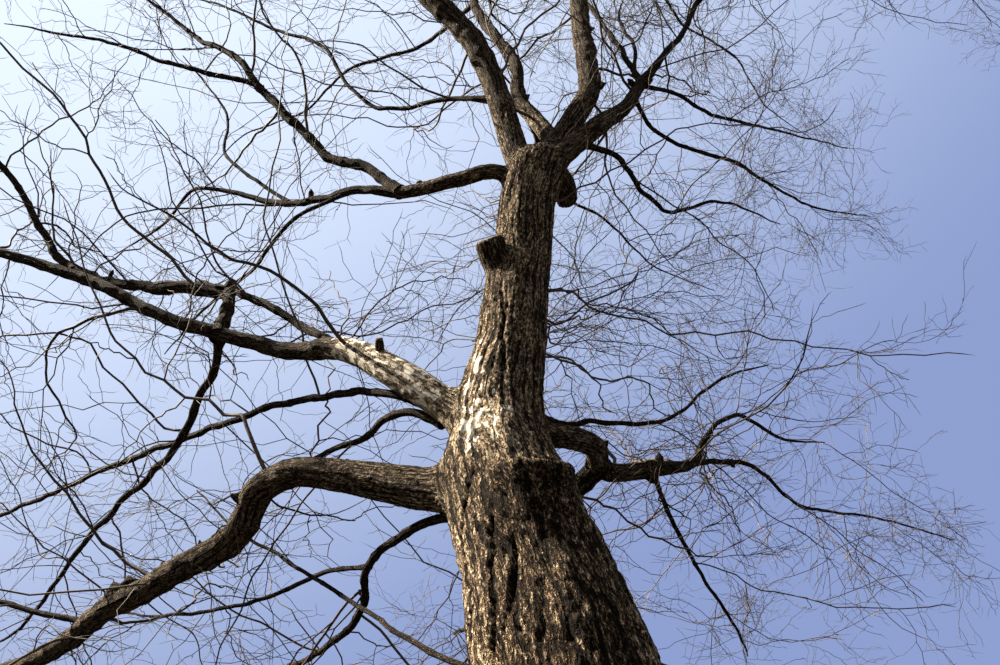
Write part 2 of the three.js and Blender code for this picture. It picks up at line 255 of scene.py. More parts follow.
def limb_rings(name):
    """A node's ring middles and radii from its tip to its foot, its tip, and the middle of its foot."""
    points, faces = welded(name)
    pairs = linked_pairs(faces)
    outer = name + "_outer"
    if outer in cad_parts:
        gaps = np.linalg.norm(points[:, None] - welded(outer)[0][None], axis=2).min(axis=1)
        starts = [np.flatnonzero(gaps < TOUCHING)]
    else:
        reach = np.zeros(len(points))
        lengths = np.linalg.norm(points[pairs[:, 0]] - points[pairs[:, 1]], axis=1)
        np.maximum.at(reach, pairs[:, 0], lengths)
        starts = [[end] for end in np.flatnonzero(reach < END_REACH)]
    tries = [steps_from(start, pairs, len(points)) for start in starts]
    best = max(tries, key=lambda steps: len(whole_rings(points, steps)[0]))
    middles, radii, last = whole_rings(points, best)
    foot = points[best > last].mean(axis=0)
    return middles, radii, points[best == 0].mean(axis=0), foot


def curve_through(knots, values, at):
    """Values at places between the knots, on a smooth curve through the values there."""
    slopes = np.gradient(values, knots, axis=0)
    before = np.clip(np.searchsorted(knots, at, side="right") - 1, 0, len(knots) - 2)
    gap = (knots[before + 1] - knots[before])[:, None]
    share = (at - knots[before])[:, None] / gap
    squared, cubed = share**2, share**3
    return (
        (2 * cubed - 3 * squared + 1) * values[before]
        + (cubed - 2 * squared + share) * gap * slopes[before]
        + (3 * squared - 2 * cubed) * values[before + 1]
        + (cubed - squared) * gap * slopes[before + 1]
    )


def lengths_along(points):
    return np.concatenate([[0], np.cumsum(np.linalg.norm(np.diff(points, axis=0), axis=1))])


# How far thin limbs stray from the solids' smooth lines, and over what length they kink.
KINK = 0.007
KINK_LENGTH = 0.19
THIN_WANDER = 0.4
STOUT_WANDER = 0.12
# A thin limb strays from here on, and a stout one from where it leaves the skin. Either does so in
# full this much further on.
THIN_FROM = 0.05
STRAY_RISE = 0.4


class Limb:
    """A limb's middle line from its foot to its tip: points, radii, and two directions across."""

    def __init__(self, name, nodes, knots, radii, from_place=0.0, wander=0.0):
        self.name = name
        self.nodes = nodes
        knots = np.array(knots)
        places = lengths_along(knots)
        count = max(3, int(places[-1] / LINE_STEP))
        at = np.linspace(0, places[-1], count)
        self.line = curve_through(places, knots, at)
        self.radii = np.interp(at, places, radii)
        self.seed = sum(ord(letter) * (place + 1) for place, letter in enumerate(name))
        if wander:
            self.stray(from_place, wander)
        self.along = lengths_along(self.line)
        self.length = self.along[-1]
        self.tangents = unit(np.gradient(self.line, axis=0))
        self.turn_frames()

    def stray(self, from_place, wander):
        """Moves the line to and fro by about a share of the limb's radius, from a place onward."""
        along = lengths_along(self.line)
        hold = eased(along, from_place, from_place + STRAY_RISE)
        for axis in range(3):
            kinks = rough_noise(np.zeros(len(along)), along / KINK_LENGTH, 1, self.seed + 7 * axis, 2)
            self.line[:, axis] += hold * kinks * (wander * self.radii + KINK)

    def turn_frames(self):
        """Directions across the line that twist as little as they can."""
        self.side = np.empty_like(self.line)
        first = np.cross(self.tangents[0], UP)
        if np.linalg.norm(first) < 0.3:
            first = np.cross(self.tangents[0], [0.0, 1.0, 0.0])
        side = unit(first)
        for place, tangent in enumerate(self.tangents):
            side = unit(side - tangent * side.dot(tangent))
            self.side[place] = side
        self.other = np.cross(self.tangents, self.side)

    def at(self, along):
        """The line's points, radii, tangents, sides and other directions at places along it."""
        place = np.clip(along / self.length, 0, 1) * (len(self.line) - 1)
        low = np.minimum(place.astype(int), len(self.line) - 2)
        share = (place - low)[:, None]

        def mixed(values):
            return blend(values[low], values[low + 1], share)

        radii = np.interp(along, self.along, self.radii)
        tangents, sides, others = (unit(mixed(ways)) for ways in (self.tangents, self.side, self.other))
        return mixed(self.line), radii, tangents, sides, others

    def nearest(self, points):
        """For each point: how far along the line its nearest place is, and the way from there to it."""
        line = self.line[::2]
        away = (points**2).sum(axis=1)[:, None] - 2 * points @ line.T + (line**2).sum(axis=1)[None]
        best = away.argmin(axis=1) * 2
        along = np.zeros(len(points))
        offset = np.full((len(points), 3), FAR)
        for first in (-2, -1, 0, 1):
            low = np.clip(best + first, 0, len(self.line) - 2)
            start, end = self.line[low], self.line[low + 1]
            step = end - start
            share = np.clip(((points - start) * step).sum(axis=1) / (step**2).sum(axis=1), 0, 1)
            found = points - start - step * share[:, None]
            closer = (found**2).sum(axis=1) < (offset**2).sum(axis=1)
            offset[closer] = found[closer]
            along[closer] = blend(self.along[low], self.along[low + 1], share)[closer]
        return along, offset


class Trunk:
    """The trunk's level rings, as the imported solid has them."""

    HARMONICS = 8

    def __init__(self):
        points, _ = welded("trunk")
        heights = np.unique(np.round(points[:, 2], 4))
        middles, shapes = [], []
        for height in heights:
            ring = points[np.abs(points[:, 2] - height) < TOUCHING]
            middle = ring[:, :2].mean(axis=0)
            out = ring[:, :2] - middle
            radii = np.hypot(*out.T)
            rim = radii > 0.5 * radii.max()
            turns = np.arctan2(out[rim, 1], out[rim, 0])
            order = np.argsort(turns)
            even = np.linspace(-math.pi, math.pi, 4 * self.HARMONICS, endpoint=False)
            spread = np.interp(even, turns[order], radii[rim][order], period=FULL_TURN)
            middles.append(middle)
            shapes.append(np.fft.rfft(spread)[: self.HARMONICS] / len(even))
        self.heights = heights
        self.top = heights[-1]
        self.middles = np.array(middles)
        self.shapes = np.array(shapes)

    def radius(self, height, turn):
        """The radius at a height, toward a turn."""
        total = np.zeros(np.shape(height))
        for wave in range(self.HARMONICS):
            amounts = self.shapes[:, wave] * (1 if wave == 0 else 2)
            real = np.interp(height, self.heights, amounts.real)
            other = np.interp(height, self.heights, amounts.imag)
            angle = wave * (turn + math.pi)
            total += real * np.cos(angle) - other * np.sin(angle)
        return total

    def middle(self, height):
        return curve_through(self.heights, self.middles, np.clip(height, 0, self.top))


trunk = Trunk()


# How far back from a bough's foot the trunk's middle is looked for, and in how many places.
CROSSING_REACH = 1.2
CROSSING_PLACES = 121


def trunk_crossing(start, way):
    """Where a line that goes back from a bough comes nearest the trunk's middle."""
    places = np.linspace(0, CROSSING_REACH, CROSSING_PLACES)
    points = start + places[:, None] * way
    off = np.hypot(*(points[:, :2] - trunk.middle(points[:, 2])).T)
    return points[off.argmin()]


# A thin limb's line starts this many of its radii, and this much more, inside its parent.
FOOT_RADII = 1.2
FOOT_DEPTH = 0.01


def read_limbs():
    """Every limb but the stubs, each with the nodes that it stands for."""
    found = {}
    for name in sorted(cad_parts):
        if name == "trunk" or name in STUBS or name.endswith("_outer"):
            continue
        nodes = [name]
        middles, radii, tip, foot = limb_rings(name)
        if name + "_outer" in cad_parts:
            nodes.append(name + "_outer")
            far_middles, far_radii, tip, _ = limb_rings(name + "_outer")
            shared = int(np.linalg.norm(middles[0] - far_middles[-1]) < SPLIT_GAP)
            middles = far_middles + middles[shared:]
            radii = far_radii + radii[shared:]
        back = unit(foot - middles[-1])
        if name in SKIN_BOUGHS:
            start = trunk_crossing(foot, back)
            from_place, wander = SKIN_REACH, STOUT_WANDER
        else:
            start = foot + back * (FOOT_RADII * radii[-1] + FOOT_DEPTH)
            from_place, wander = THIN_FROM, THIN_WANDER
        knots = [start] + middles[::-1] + [tip]
        thick = [radii[-1]] + radii[::-1] + [radii[0]]
        found[name] = Limb(name, nodes, knots, thick, from_place, wander)
    return found


# How round each stub's rim is, its thickness as a share of the solid's, and whether it is cut at a slant.
STUB_SHAPES = {
    "collar_stub": (0.035, 0.95, False),
    "upper_stub": (0.025, 1.25, True),
    "hanging_stub": (0.016, 1.0, True),
}
# The stub that the trunk's bark has grown over: it melts into the trunk over the first length under
# its lip and over the second one at the lip, between these heights under its end.
GROWN_OVER = "collar_stub"
GROWN_SPREAD = (0.13, 0.07)
GROWN_HEIGHTS = (-0.22, -0.1)
# A stub's flat end has at least this many corners, where each of its sides has four.
END_CORNERS = 7


def flat_end(points, faces):
    """Which corners are round a stub's flat end, the one furthest from the trunk, and the way it
    faces."""
    corners = points[faces]
    facing = unit(np.cross(corners[:, 1] - corners[:, 0], corners[:, 2] - corners[:, 0]))
    level = (facing * corners[:, 0]).sum(axis=1)
    reach = facing @ corners[:, 0].T
    same = (facing @ facing.T > 0.9999) & (np.abs(reach - level[:, None]) < TOUCHING)
    away = np.hypot(*(corners[:, 0, :2] - trunk.middle(corners[:, 0, 2])).T)
    many = np.array([len(np.unique(faces[flat])) >= END_CORNERS for flat in same])
    flat = same[(many * away).argmax()]
    return np.unique(faces[flat]), facing[flat][0]


class Stub:
    """A sawn stub: from the trunk's middle to the middle of its flat end."""

    def __init__(self, name):
        points, faces = welded(name)
        rim, self.facing = flat_end(points, faces)
        apart = np.linalg.norm(points[rim][:, None] - points[rim][None], axis=2)
        one, two = np.unravel_index(apart.argmax(), apart.shape)
        self.edge, thickness, slanted = STUB_SHAPES[name]
        self.name = name
        self.end = points[rim][[one, two]].sum(axis=0) / 2
        self.radius = apart.max() / 2 * thickness
        knots = [self.end]
        way = self.facing
        if slanted:
            knots.insert(0, np.delete(points, rim, axis=0).mean(axis=0))
            way = unit(self.end - knots[0])
        height = trunk_crossing(knots[0], -way)[2]
        knots.insert(0, np.array([*trunk.middle(np.array([height]))[0], height]))
        self.limb = Limb(name, [name], knots, [self.radius] * len(knots))

    def from_end(self, points):
        """How far points are past the flat end, and how far from its middle, as a share of its radius."""
        beyond = (points - self.end) @ self.facing
        off = np.linalg.norm(points - self.end - beyond[:, None] * self.facing, axis=1)
        return beyond, off / self.radius


limbs = read_limbs()
stubs = [Stub(name) for name in STUBS]


# The shared skin: one smooth surface round the trunk, the feet of the boughs and the stubs


def trunk_field(points):
    """The distance of points from the trunk's smooth surface, the way out, height, turn and radius."""
    height = np.clip(points[:, 2], 0, trunk.top)
    out = np.zeros_like(points)
    out[:, :2] = points[:, :2] - trunk.middle(height)
    out[:, 2] = np.maximum(points[:, 2] - trunk.top, 0)
    turn = np.arctan2(out[:, 1], out[:, 0])
    away = np.linalg.norm(out, axis=1)
    radius = trunk.radius(height, turn)
    return away - radius, unit(out), height, turn, radius


# A bough's part of the skin draws in by this share over its last stretch, inside the bough's own
# tube, and the tube draws in by it over its first.
DRAW_IN = 0.12
DRAW_IN_LENGTH = 0.05


def limb_field(limb, reach, points):
    """As trunk_field, for a limb's first stretch."""
    along, offset = limb.nearest(points)
    _, radii, _, side, other = limb.at(along)
    radii = radii * (1 - DRAW_IN * eased(along, reach - DRAW_IN_LENGTH, reach))
    turn = np.arctan2((offset * other).sum(axis=1), (offset * side).sum(axis=1))
    away = np.linalg.norm(offset, axis=1)
    return away - radii, unit(offset), along, turn, radii


def stub_field(stub, points):
    """As limb_field, with a square end with a round edge."""
    away, out, along, turn, radii = limb_field(stub.limb, FAR, points)
    radii = np.minimum(away + radii, radii)
    beyond, _ = stub.from_end(points)
    share = np.clip(0.5 + 0.5 * (beyond - away) / stub.edge, 0, 1)
    out = unit(blend(out, stub.facing, share[:, None]))
    return blend(away, beyond, share) + stub.edge * share * (1 - share), out, along, turn, radii


class Part:
    """A part of the skin: the trunk, a bough's foot or a stub. Field measures points from it, spread
    is over what length it melts into the rest, and only points in its box are measured."""

    def __init__(self, name, field, spread, radius, box):
        self.name = name
        self.field = field
        self.spread = spread
        self.radius = radius
        self.box = box


# The trunk's mean radius, for the size of its furrows.
TRUNK_RADIUS = 0.27


def skin_parts():
    parts = [Part("trunk", trunk_field, 0, TRUNK_RADIUS, None)]
    for name in SKIN_BOUGHS:
        limb = limbs[name]
        near = limb.along <= SKIN_REACH
        foot = Limb(name, limb.nodes, limb.line[near], limb.radii[near])
        foot.side, foot.other = limb.side[: len(foot.line)], limb.other[: len(foot.line)]
        parts.append(limb_part(foot, lambda points, foot=foot: limb_field(foot, SKIN_REACH, points)))
    for stub in stubs:
        parts.append(limb_part(stub.limb, lambda points, stub=stub: stub_field(stub, points), STUB_SPREAD))
    return parts


def spread_at(part, points):
    """Over what length a part melts into the rest of the skin."""
    if part.name != GROWN_OVER:
        return part.spread
    under, over = stubs[STUBS.index(GROWN_OVER)].end[2] + np.array(GROWN_HEIGHTS)
    return blend(*GROWN_SPREAD, eased(points[:, 2], under, over))


def limb_part(limb, field, spread=JOINT_SPREAD):
    radius = limb.radii.mean()
    margin = 0.1 + 2 * radius
    box = (limb.line.min(axis=0) - margin, limb.line.max(axis=0) + margin)
    return Part(limb.name, field, spread * limb.radii[0], radius, box)


def skin_field(parts, points):
    """The distance of points from the skin's smooth surface, the way out, how much each part has
    of each point, and each part's places along and round it."""
    field, out, along, turn, radius = trunk_field(points)
    shares = np.zeros((len(parts), len(points)))
    shares[0] = 1
    places = [(np.arange(len(points)), along, turn, radius)]
    for number, part in enumerate(parts[1:], start=1):
        inside = np.all((points > part.box[0]) & (points < part.box[1]), axis=1)
        near = np.flatnonzero(inside)
        away, way, along, turn, radius = part.field(points[near])
        length = spread_at(part, points[near])
        share = np.clip(0.5 + 0.5 * (field[near] - away) / length, 0, 1)
        field[near] = blend(field[near], away, share) - length * share * (1 - share)
        out[near] = blend(out[near], way, share[:, None])
        shares[:, near] *= 1 - share
        shares[number, near] = share
        places.append((near, along, turn, radius))
    return field, unit(out), shares, places


def ring_points(middles, radii, side, other, sides):
    """Rings of points round middles: an array of rings, points and coordinates."""
    turns = even_turns(sides)
    out = np.cos(turns)[None, :, None] * side[:, None] + np.sin(turns)[None, :, None] * other[:, None]
    return middles[:, None] + out * np.asarray(radii)[..., None]


def ring_faces(rings, sides):
    """Quads between rings that follow each other."""
    ring, place = np.meshgrid(np.arange(rings - 1), np.arange(sides), indexing="ij")
    near = ring * sides + place
    after = ring * sides + (place + 1) % sides
    return np.stack([near, after, after + sides, near + sides], axis=-1).reshape(-1, 4)


def end_fan(first, sides, middle):
    """Triangles between the ring whose points start at first and the point at its middle."""
    place = np.arange(sides)
    return np.stack([first + place, first + (place + 1) % sides, np.full(sides, middle)], axis=1)


def joined(pieces):
    """Pieces, each of points, quads and triangles, as one."""
    count = 0
    groups = []
    for points, quads, fans in pieces:
        groups.append((points, quads + count, fans + count))
        count += len(points)
    return [np.concatenate(group) for group in zip(*groups)]


def mesh_of(name, points, *face_groups):
    """A mesh from points and groups of faces, each group an array with a row for each face."""
    mesh = bpy.data.meshes.new(name)
    sizes = np.concatenate([np.full(len(faces), faces.shape[1]) for faces in face_groups])
    corners = np.concatenate([faces.ravel() for faces in face_groups]).astype(np.int32)
    mesh.vertices.add(len(points))
    mesh.vertices.foreach_set("co", np.asarray(points, np.float32).ravel())
    mesh.loops.add(len(corners))
    mesh.loops.foreach_set("vertex_index", corners)
    mesh.polygons.add(len(sizes))
    mesh.polygons.foreach_set("loop_start", np.concatenate([[0], np.cumsum(sizes)[:-1]]).astype(np.int32))
    mesh.update(calc_edges=True)
    return mesh


def object_of(name, mesh):
    made = bpy.data.objects.new(name, mesh)
    bpy.context.scene.collection.objects.link(made)
    return made


def closed_tube(middles, radii, side, other):
    """A closed tube's points and faces, with a fan at each end."""
    count, sides = radii.shape
    rings = ring_points(middles, radii, side, other, sides)
    points = np.concatenate([rings.reshape(-1, 3), middles[:1], middles[-1:]])
    foot = end_fan(0, sides, count * sides)[:, [1, 0, 2]]
    tip = end_fan((count - 1) * sides, sides, count * sides + 1)
    return points, ring_faces(count, sides), np.concatenate([foot, tip])


# The plain tubes that the skin is first made round: the trunk's rings and sides, how far it goes
# under the ground, and the sides of the others.
TRUNK_RINGS = 90
TRUNK_SIDES = 48
TRUNK_UNDER = 0.06
TUBE_SIDES = 32


def trunk_tube():
    heights = np.linspace(-TRUNK_UNDER, trunk.top, TRUNK_RINGS)
    level = np.clip(heights, 0, trunk.top)
    turns = even_turns(TRUNK_SIDES)
    radii = np.array([trunk.radius(np.full(TRUNK_SIDES, height), turns) for height in level])
    middles = np.column_stack([trunk.middle(level), heights])
    across, away = np.repeat(np.eye(3)[:2, None], TRUNK_RINGS, axis=1)
    return closed_tube(middles, radii, across, away)


def rough_union():
    """A voxel skin round plain tubes along the trunk, boughs and stubs, before it settles."""
    tubes = [trunk_tube()]
    for limb in [limbs[name] for name in SKIN_BOUGHS] + [stub.limb for stub in stubs]:
        kept = limb.along <= SKIN_REACH
        radii = np.repeat(limb.radii[kept][:, None], TUBE_SIDES, axis=1)
        tubes.append(closed_tube(limb.line[kept], radii, limb.side[kept], limb.other[kept]))
    points, quads, fans = joined(tubes)
    rough = object_of("rough", mesh_of("rough", points * [1, 1, SQUASH], quads, fans))
    remesh = rough.modifiers.new("voxels", "REMESH")
    remesh.mode = "VOXEL"
    remesh.voxel_size = VOXEL
    graph = bpy.context.evaluated_depsgraph_get()
    mesh = bpy.data.meshes.new_from_object(rough.evaluated_get(graph))
    points = numbers_of(mesh.vertices, "co", 3, np.float32).astype(float) / [1, 1, SQUASH]
    corners = numbers_of(mesh.loops, "vertex_index", 1, np.int32)
    bpy.data.objects.remove(rough)
    bpy.data.meshes.remove(mesh)
    return points, corners.reshape(-1, 4)


def level_foot(points, quads):
    """Drops what lies under the ground, sets the rim on it and closes the cut with a fan."""
    above = points[:, 2] > -0.5 * VOXEL / SQUASH
    used, index = np.unique(quads[above[quads].all(axis=1)], return_inverse=True)
    points, kept = points[used], index.reshape(-1, 4)
    edges = edges_of(kept)
    codes = edges[:, 0].astype(np.int64) * len(points) + edges[:, 1]
    turned = edges[:, 1].astype(np.int64) * len(points) + edges[:, 0]
    rim = edges[~np.isin(codes, turned)]
    points[rim.ravel(), 2] = 0
    points[:, 2] = np.maximum(points[:, 2], 0)
    middle = np.full(len(rim), len(points))
    cut = np.column_stack([rim[:, 1], rim[:, 0], middle])
    return np.concatenate([points, [[*trunk.middle(np.zeros(1))[0], 0.0]]]), kept, cut


def point_normals(points, quads):
    """The way out at each point of a skin of quads."""
    one, two, three, four = points[quads].transpose(1, 0, 2)
    facing = np.cross(three - one, four - two)
    total = np.zeros_like(points)
    for corner in range(4):
        for axis in range(3):
            total[:, axis] += np.bincount(quads[:, corner], facing[:, axis], len(points))
    return unit(total)


def relaxed(points, quads):
    """Points moved half way to the middle of their neighbours, so that the mesh is even."""
    pairs = edges_of(quads)
    counts = np.maximum(np.bincount(pairs.ravel(), minlength=len(points)), 1)[:, None]
    total = np.zeros_like(points)
    for axis in range(3):
        total[:, axis] += np.bincount(pairs[:, 0], points[pairs[:, 1], axis], len(points))
        total[:, axis] += np.bincount(pairs[:, 1], points[pairs[:, 0], axis], len(points))
    return blend(points, total / counts, 0.5)


# Bark: relief and tones by place


class Bark:
    """How bark is furrowed: sets of furrows and plates, each with a width, a length and a depth in
    metres, the depth of the grain between them, and how far its colour is the boughs' brown, which
    on the limbs' tubes is the limbs' tones, darkened in part as painted shade."""

    def __init__(self, furrows, plates, grain_depth, hue):
        self.furrows = furrows
        self.plates = plates
        self.grain_depth = grain_depth
        self.hue = hue


TRUNK_BARK = Bark([(0.1, 0.8, 0.01), (0.05, 0.4, 0.007)], (0.034, 0.1, 0.006), 0.004, 0.0)
BOUGH_BARK = Bark([(0.04, 0.25, 0.0035), (0.024, 0.12, 0.002)], (0.022, 0.06, 0.0015), 0.0015, 0.6)
LIMB_BARK = Bark([(0.02, 0.12, 0.001)], (0.01, 0.03, 0.0006), 0.0006, 1.0)


def cells_round(round_length, width, least):
    """How many cells of about a width go round a limb: an even number."""
    return max(least, 2 * round(0.5 * round_length / width))


def furrow_relief(furrows, round_length, share_round, along, seed):
    """The height of ridges that branch and meet, with furrows between them, for each size of them."""
    height = 0.0
    for order, (width, length, depth) in enumerate(furrows):
        own_seed = seed + 20 * order
        cells = cells_round(round_length, width, 4)
        across = share_round * cells
        down = along / length
        bent = across + 0.3 * rough_noise(across, down * 3, cells, own_seed + 3, 3)
        line = np.abs(rough_noise(bent, down, cells, own_seed + 9, 2))
        opening = eased(rough_noise(across / 2, down * 2, cells // 2, own_seed + 15, 2), -0.8, 0.3)
        furrow = (1 - eased(line, 0.0, 0.3)) * opening
        height = height + depth * (0.3 * eased(line, 0, 0.8) - furrow)
    return height


def relief(bark, mean_radius, along, turn, seed):
    """The bark's height over the smooth surface, and its tone."""
    round_length = FULL_TURN * mean_radius
    share_round = turn / FULL_TURN + 0.5
    height = furrow_relief(bark.furrows, round_length, share_round, along, seed)
    width, length, depth = bark.plates
    cells = cells_round(round_length, width, 6)
    across = share_round * cells
    down = along / length
    bent = across + 0.4 * rough_noise(across / 2, down * 1.7, cells // 2, seed + 61)
    gap, own, above = plate_cells(bent, down, cells, seed + 71)
    lift = own - 0.8 * np.clip(above, -0.6, 0.6)
    grain = rough_noise(share_round * cells * 2, along / (0.3 * length), cells * 2, seed + 81, 2)
    height = height + depth * eased(gap, 0.0, 0.3) * (0.3 + 0.7 * lift) + bark.grain_depth * grain
    tone = np.clip(0.5 + 0.35 * (own - 0.5) + 0.25 * grain, 0, 1)
    return height, tone


# What the noise of each kind of detail starts from, and how far apart the limbs' own are.
WRINKLE_SEED = 900
CLEFT_SEED = 950
SNAG_SEED = 700
LIMB_SEEDS = 100

# Wrinkles where a limb leaves the trunk: how far apart they are, and how deep.
WRINKLE_LENGTH = 0.021
WRINKLE_DEPTH = 0.0045


def wrinkles(along, turn):
    """Short folds that run round the trunk, as bark has where it is pressed together."""
    across = (turn / FULL_TURN + 0.5) * 12
    wave = along / WRINKLE_LENGTH + 1.6 * rough_noise(across, along / 0.09, 12, WRINKLE_SEED)
    return np.abs(np.mod(wave, 1.0) * 2 - 1) - 0.5


# The trunk's pale patches, with loose plates and bare wood: height, turn, and how far each reaches
# up and round.
PALE_PATCHES = ((4.05, -1.97, 0.28, 0.8), (4.42, -2.25, 0.3, 0.35))
# The bough whose bark is pale over its first stretch, how far from the trunk's middle that goes,
# and how pale it is.
PALE_BOUGH = "mid_left_bough"
PALE_TO = 1.3
PALE_BOUGH_SHARE = 1.03
# Painted shade darkens the trunk on its side toward the viewer: between these turns and under this height,
# by this much.
PAINTED_SHADE_TURNS = (-2.3, -0.9)
PAINTED_SHADE_TOP = 3.65
PAINTED_SHADE_AMOUNT = 0.6
# The long clefts down the trunk from the low bough's foot and the collar: the heights and turns
# along each, and how wide and deep they are.
CLEFTS = (
    ((2.4, -2.8), (3.1, -2.9), (3.45, -2.8), (3.58, -2.5), (3.75, -2.1)),
    ((2.85, -2.45), (3.25, -2.28), (3.5, -2.05)),
    ((2.95, -2.2), (3.15, -2.03), (3.33, -1.9)),
    ((1.9, -2.1), (2.5, -2.25), (2.85, -2.15)),
    ((4.35, -1.5), (4.7, -1.75), (5.0, -2.0)),
)
CLEFT_WIDTH = 0.008
CLEFT_DEPTH = 0.015
# How far a cleft strays to the sides, and over what length it bends.
CLEFT_STRAY = 0.014
CLEFT_BEND = 0.07


def clefts(height, turn, radius):
    """How deep places are in the long clefts, from 0 to 1."""
    deepest = np.zeros(len(height))
    for number, line in enumerate(CLEFTS):
        heights, turns = np.array(line).T
        bends = rough_noise(np.zeros(len(height)), height / CLEFT_BEND, 4, CLEFT_SEED + number, 3)
        stray = CLEFT_STRAY * bends
        off = np.mod(turn - np.interp(height, heights, turns) + math.pi, FULL_TURN) - math.pi
        ends = eased(height, heights[0], heights[0] + 0.1) * eased(-height, -heights[-1], 0.05 - heights[-1])
        deepest = np.maximum(deepest, np.exp(-(((off * radius + stray) / CLEFT_WIDTH) ** 2)) * ends)
    return deepest


def paleness(height, turn):
    """How pale the trunk's bark is: up to 1 in the pale patches, and below 0 where painted shade darkens its
    side toward the viewer.
    """
    pale = np.zeros(len(height))
    for patch_height, patch_turn, up, round_it in PALE_PATCHES:
        away = np.hypot((height - patch_height) / up, (turn - patch_turn) / round_it)
        pale = np.maximum(pale, eased(1.3 - away, 0, 1))
    first, last = PAINTED_SHADE_TURNS
    painted_shade = eased(turn, first - 0.3, first + 0.3) * eased(-turn, -last - 0.4, 0.4 - last)
    return pale - PAINTED_SHADE_AMOUNT * painted_shade * eased(-height, -PAINTED_SHADE_TOP - 0.1, 0.1 - PAINTED_SHADE_TOP)


# How often the rough skin is laid on the smooth surface and evened out.
SKIN_ROUNDS = 3
# A part that has less of a place than this leaves no bark on it.
LEAST_SHARE = 0.01
# Where the trunk is as thick as this, its furrows are as deep as its bark says.
FURROW_RADIUS = 0.29
# How much of its depth the bark keeps at the ground, and how high above it is whole.
FOOT_RELIEF = 0.3
FOOT_HEIGHT = 0.03
# A fold takes this share of the furrows away, and sawn wood this share of all relief.
FOLD_SMOOTHS = 0.5
SAWN_SMOOTHS = 0.9
# A stub's sawn face starts this near its end, and reaches this share of its radius out.
SAWN_DEPTHS = (-0.02, -0.008)
SAWN_RIMS = (0.86, 0.97)


def onto_surface(parts, points):
    """Points moved onto the skin's smooth surface."""
    field, out, _, _ = skin_field(parts, points)
    return points - out * field[:, None]


def smooth_skin(parts):
    """The skin's points and faces before its bark, and the fan that closes its foot."""
    points, quads = rough_union()
    for _ in range(SKIN_ROUNDS):
        points = relaxed(onto_surface(parts, points), quads)
    return level_foot(onto_surface(parts, points), quads)


def folds(points, shares, grown_share):
    """How far places are in a fold between two parts of the skin, from 0 to 1: the stub that is
    grown over has folds at its lip only."""
    fold = eased(1 - shares.max(axis=0), 0.03, 0.4)
    lip = stubs[STUBS.index(GROWN_OVER)].end[2]
    return fold * np.where(grown_share > LEAST_SHARE, eased(points[:, 2], lip - 0.05, lip), 1)


def bark_over(parts, points, shares, places, leader):
    """The skin's relief, tone and hue, mixed from its parts', and where its grain is read."""
    height, tone, hue = np.zeros((3, len(points)))
    grain = np.zeros((len(points), 3))
    for number, (part, (near, along, turn, radius)) in enumerate(zip(parts, places)):
        used = shares[number, near] > LEAST_SHARE
        near, along, turn, radius = near[used], along[used], turn[used], radius[used]
        bark = BOUGH_BARK if number else TRUNK_BARK
        up, lightness = relief(bark, part.radius, along, turn, LIMB_SEEDS * number)
        if number == 0:
            up = up * np.clip(radius / FURROW_RADIUS, 0.7, 1.15)
        share = shares[number, near]
        height[near] += share * up
        tone[near] += share * lightness
        hue[near] += share * bark.hue
        mine = leader[near] == number
        grain[near[mine]] = grain_place(radius[mine], turn[mine], along[mine] + number)
    on_trunk = leader == 0
    grain[on_trunk] = points[on_trunk]
    grain[on_trunk, :2] -= trunk.middle(points[on_trunk, 2])
    return height, tone, hue, grain


def sawn_share(points):
    """How far places are in the sawn face of a stub, from 0 to 1."""
    sawn = np.zeros(len(points))
    for stub in stubs:
        beyond, off = stub.from_end(points)
        if stub.name != GROWN_OVER:
            sawn = np.maximum(sawn, eased(beyond, *SAWN_DEPTHS) * (1 - eased(off, *SAWN_RIMS)))
    return sawn


def make_skin():
    """The skin's points, faces and cut, outward directions, tones, grain and each face's part."""
    parts = skin_parts()
    points, quads, cut = smooth_skin(parts)
    _, _, shares, places = skin_field(parts, points)
    names = [part.name for part in parts]
    grown_over = names.index(GROWN_OVER)
    fold = folds(points, shares, shares[grown_over])
    shares[0] += shares[grown_over]
    shares[grown_over] = 0
    leader = shares.argmax(axis=0)
    height, tone, hue, grain = bark_over(parts, points, shares, places, leader)
    _, along, turn, radius = places[0]
    cleft = (leader == 0) * clefts(along, turn, radius)
    sawn = sawn_share(points)
    height = height * (1 - FOLD_SMOOTHS * fold) + WRINKLE_DEPTH * fold * wrinkles(along, turn)
    height = (height - CLEFT_DEPTH * cleft) * (1 - SAWN_SMOOTHS * sawn)
    height *= blend(FOOT_RELIEF, 1.0, eased(points[:, 2], 0.0, FOOT_HEIGHT))
    moved = points + point_normals(points, quads) * height[:, None]
    moved[:, 2] = np.where(points[:, 2] <= 0, 0, np.maximum(moved[:, 2], 0))
    # Subtracting the clefts darkens their bark: painted shade in them.
    pale = (leader == 0) * paleness(along, turn) - cleft
    pale += PALE_BOUGH_SHARE * shares[names.index(PALE_BOUGH)]
    values = {"tone": tone, "hue": hue, "pale": pale, "sawn": sawn}
    return moved, quads, cut, point_normals(moved, quads), values, grain, leader[quads].max(axis=1), names


def grain_place(radius, turn, along):
    """Where the bark's fine grain is read: metres round and along a limb, as places in space."""
    return np.stack(np.broadcast_arrays(radius * np.cos(turn), radius * np.sin(turn), along), axis=-1)


# Materials


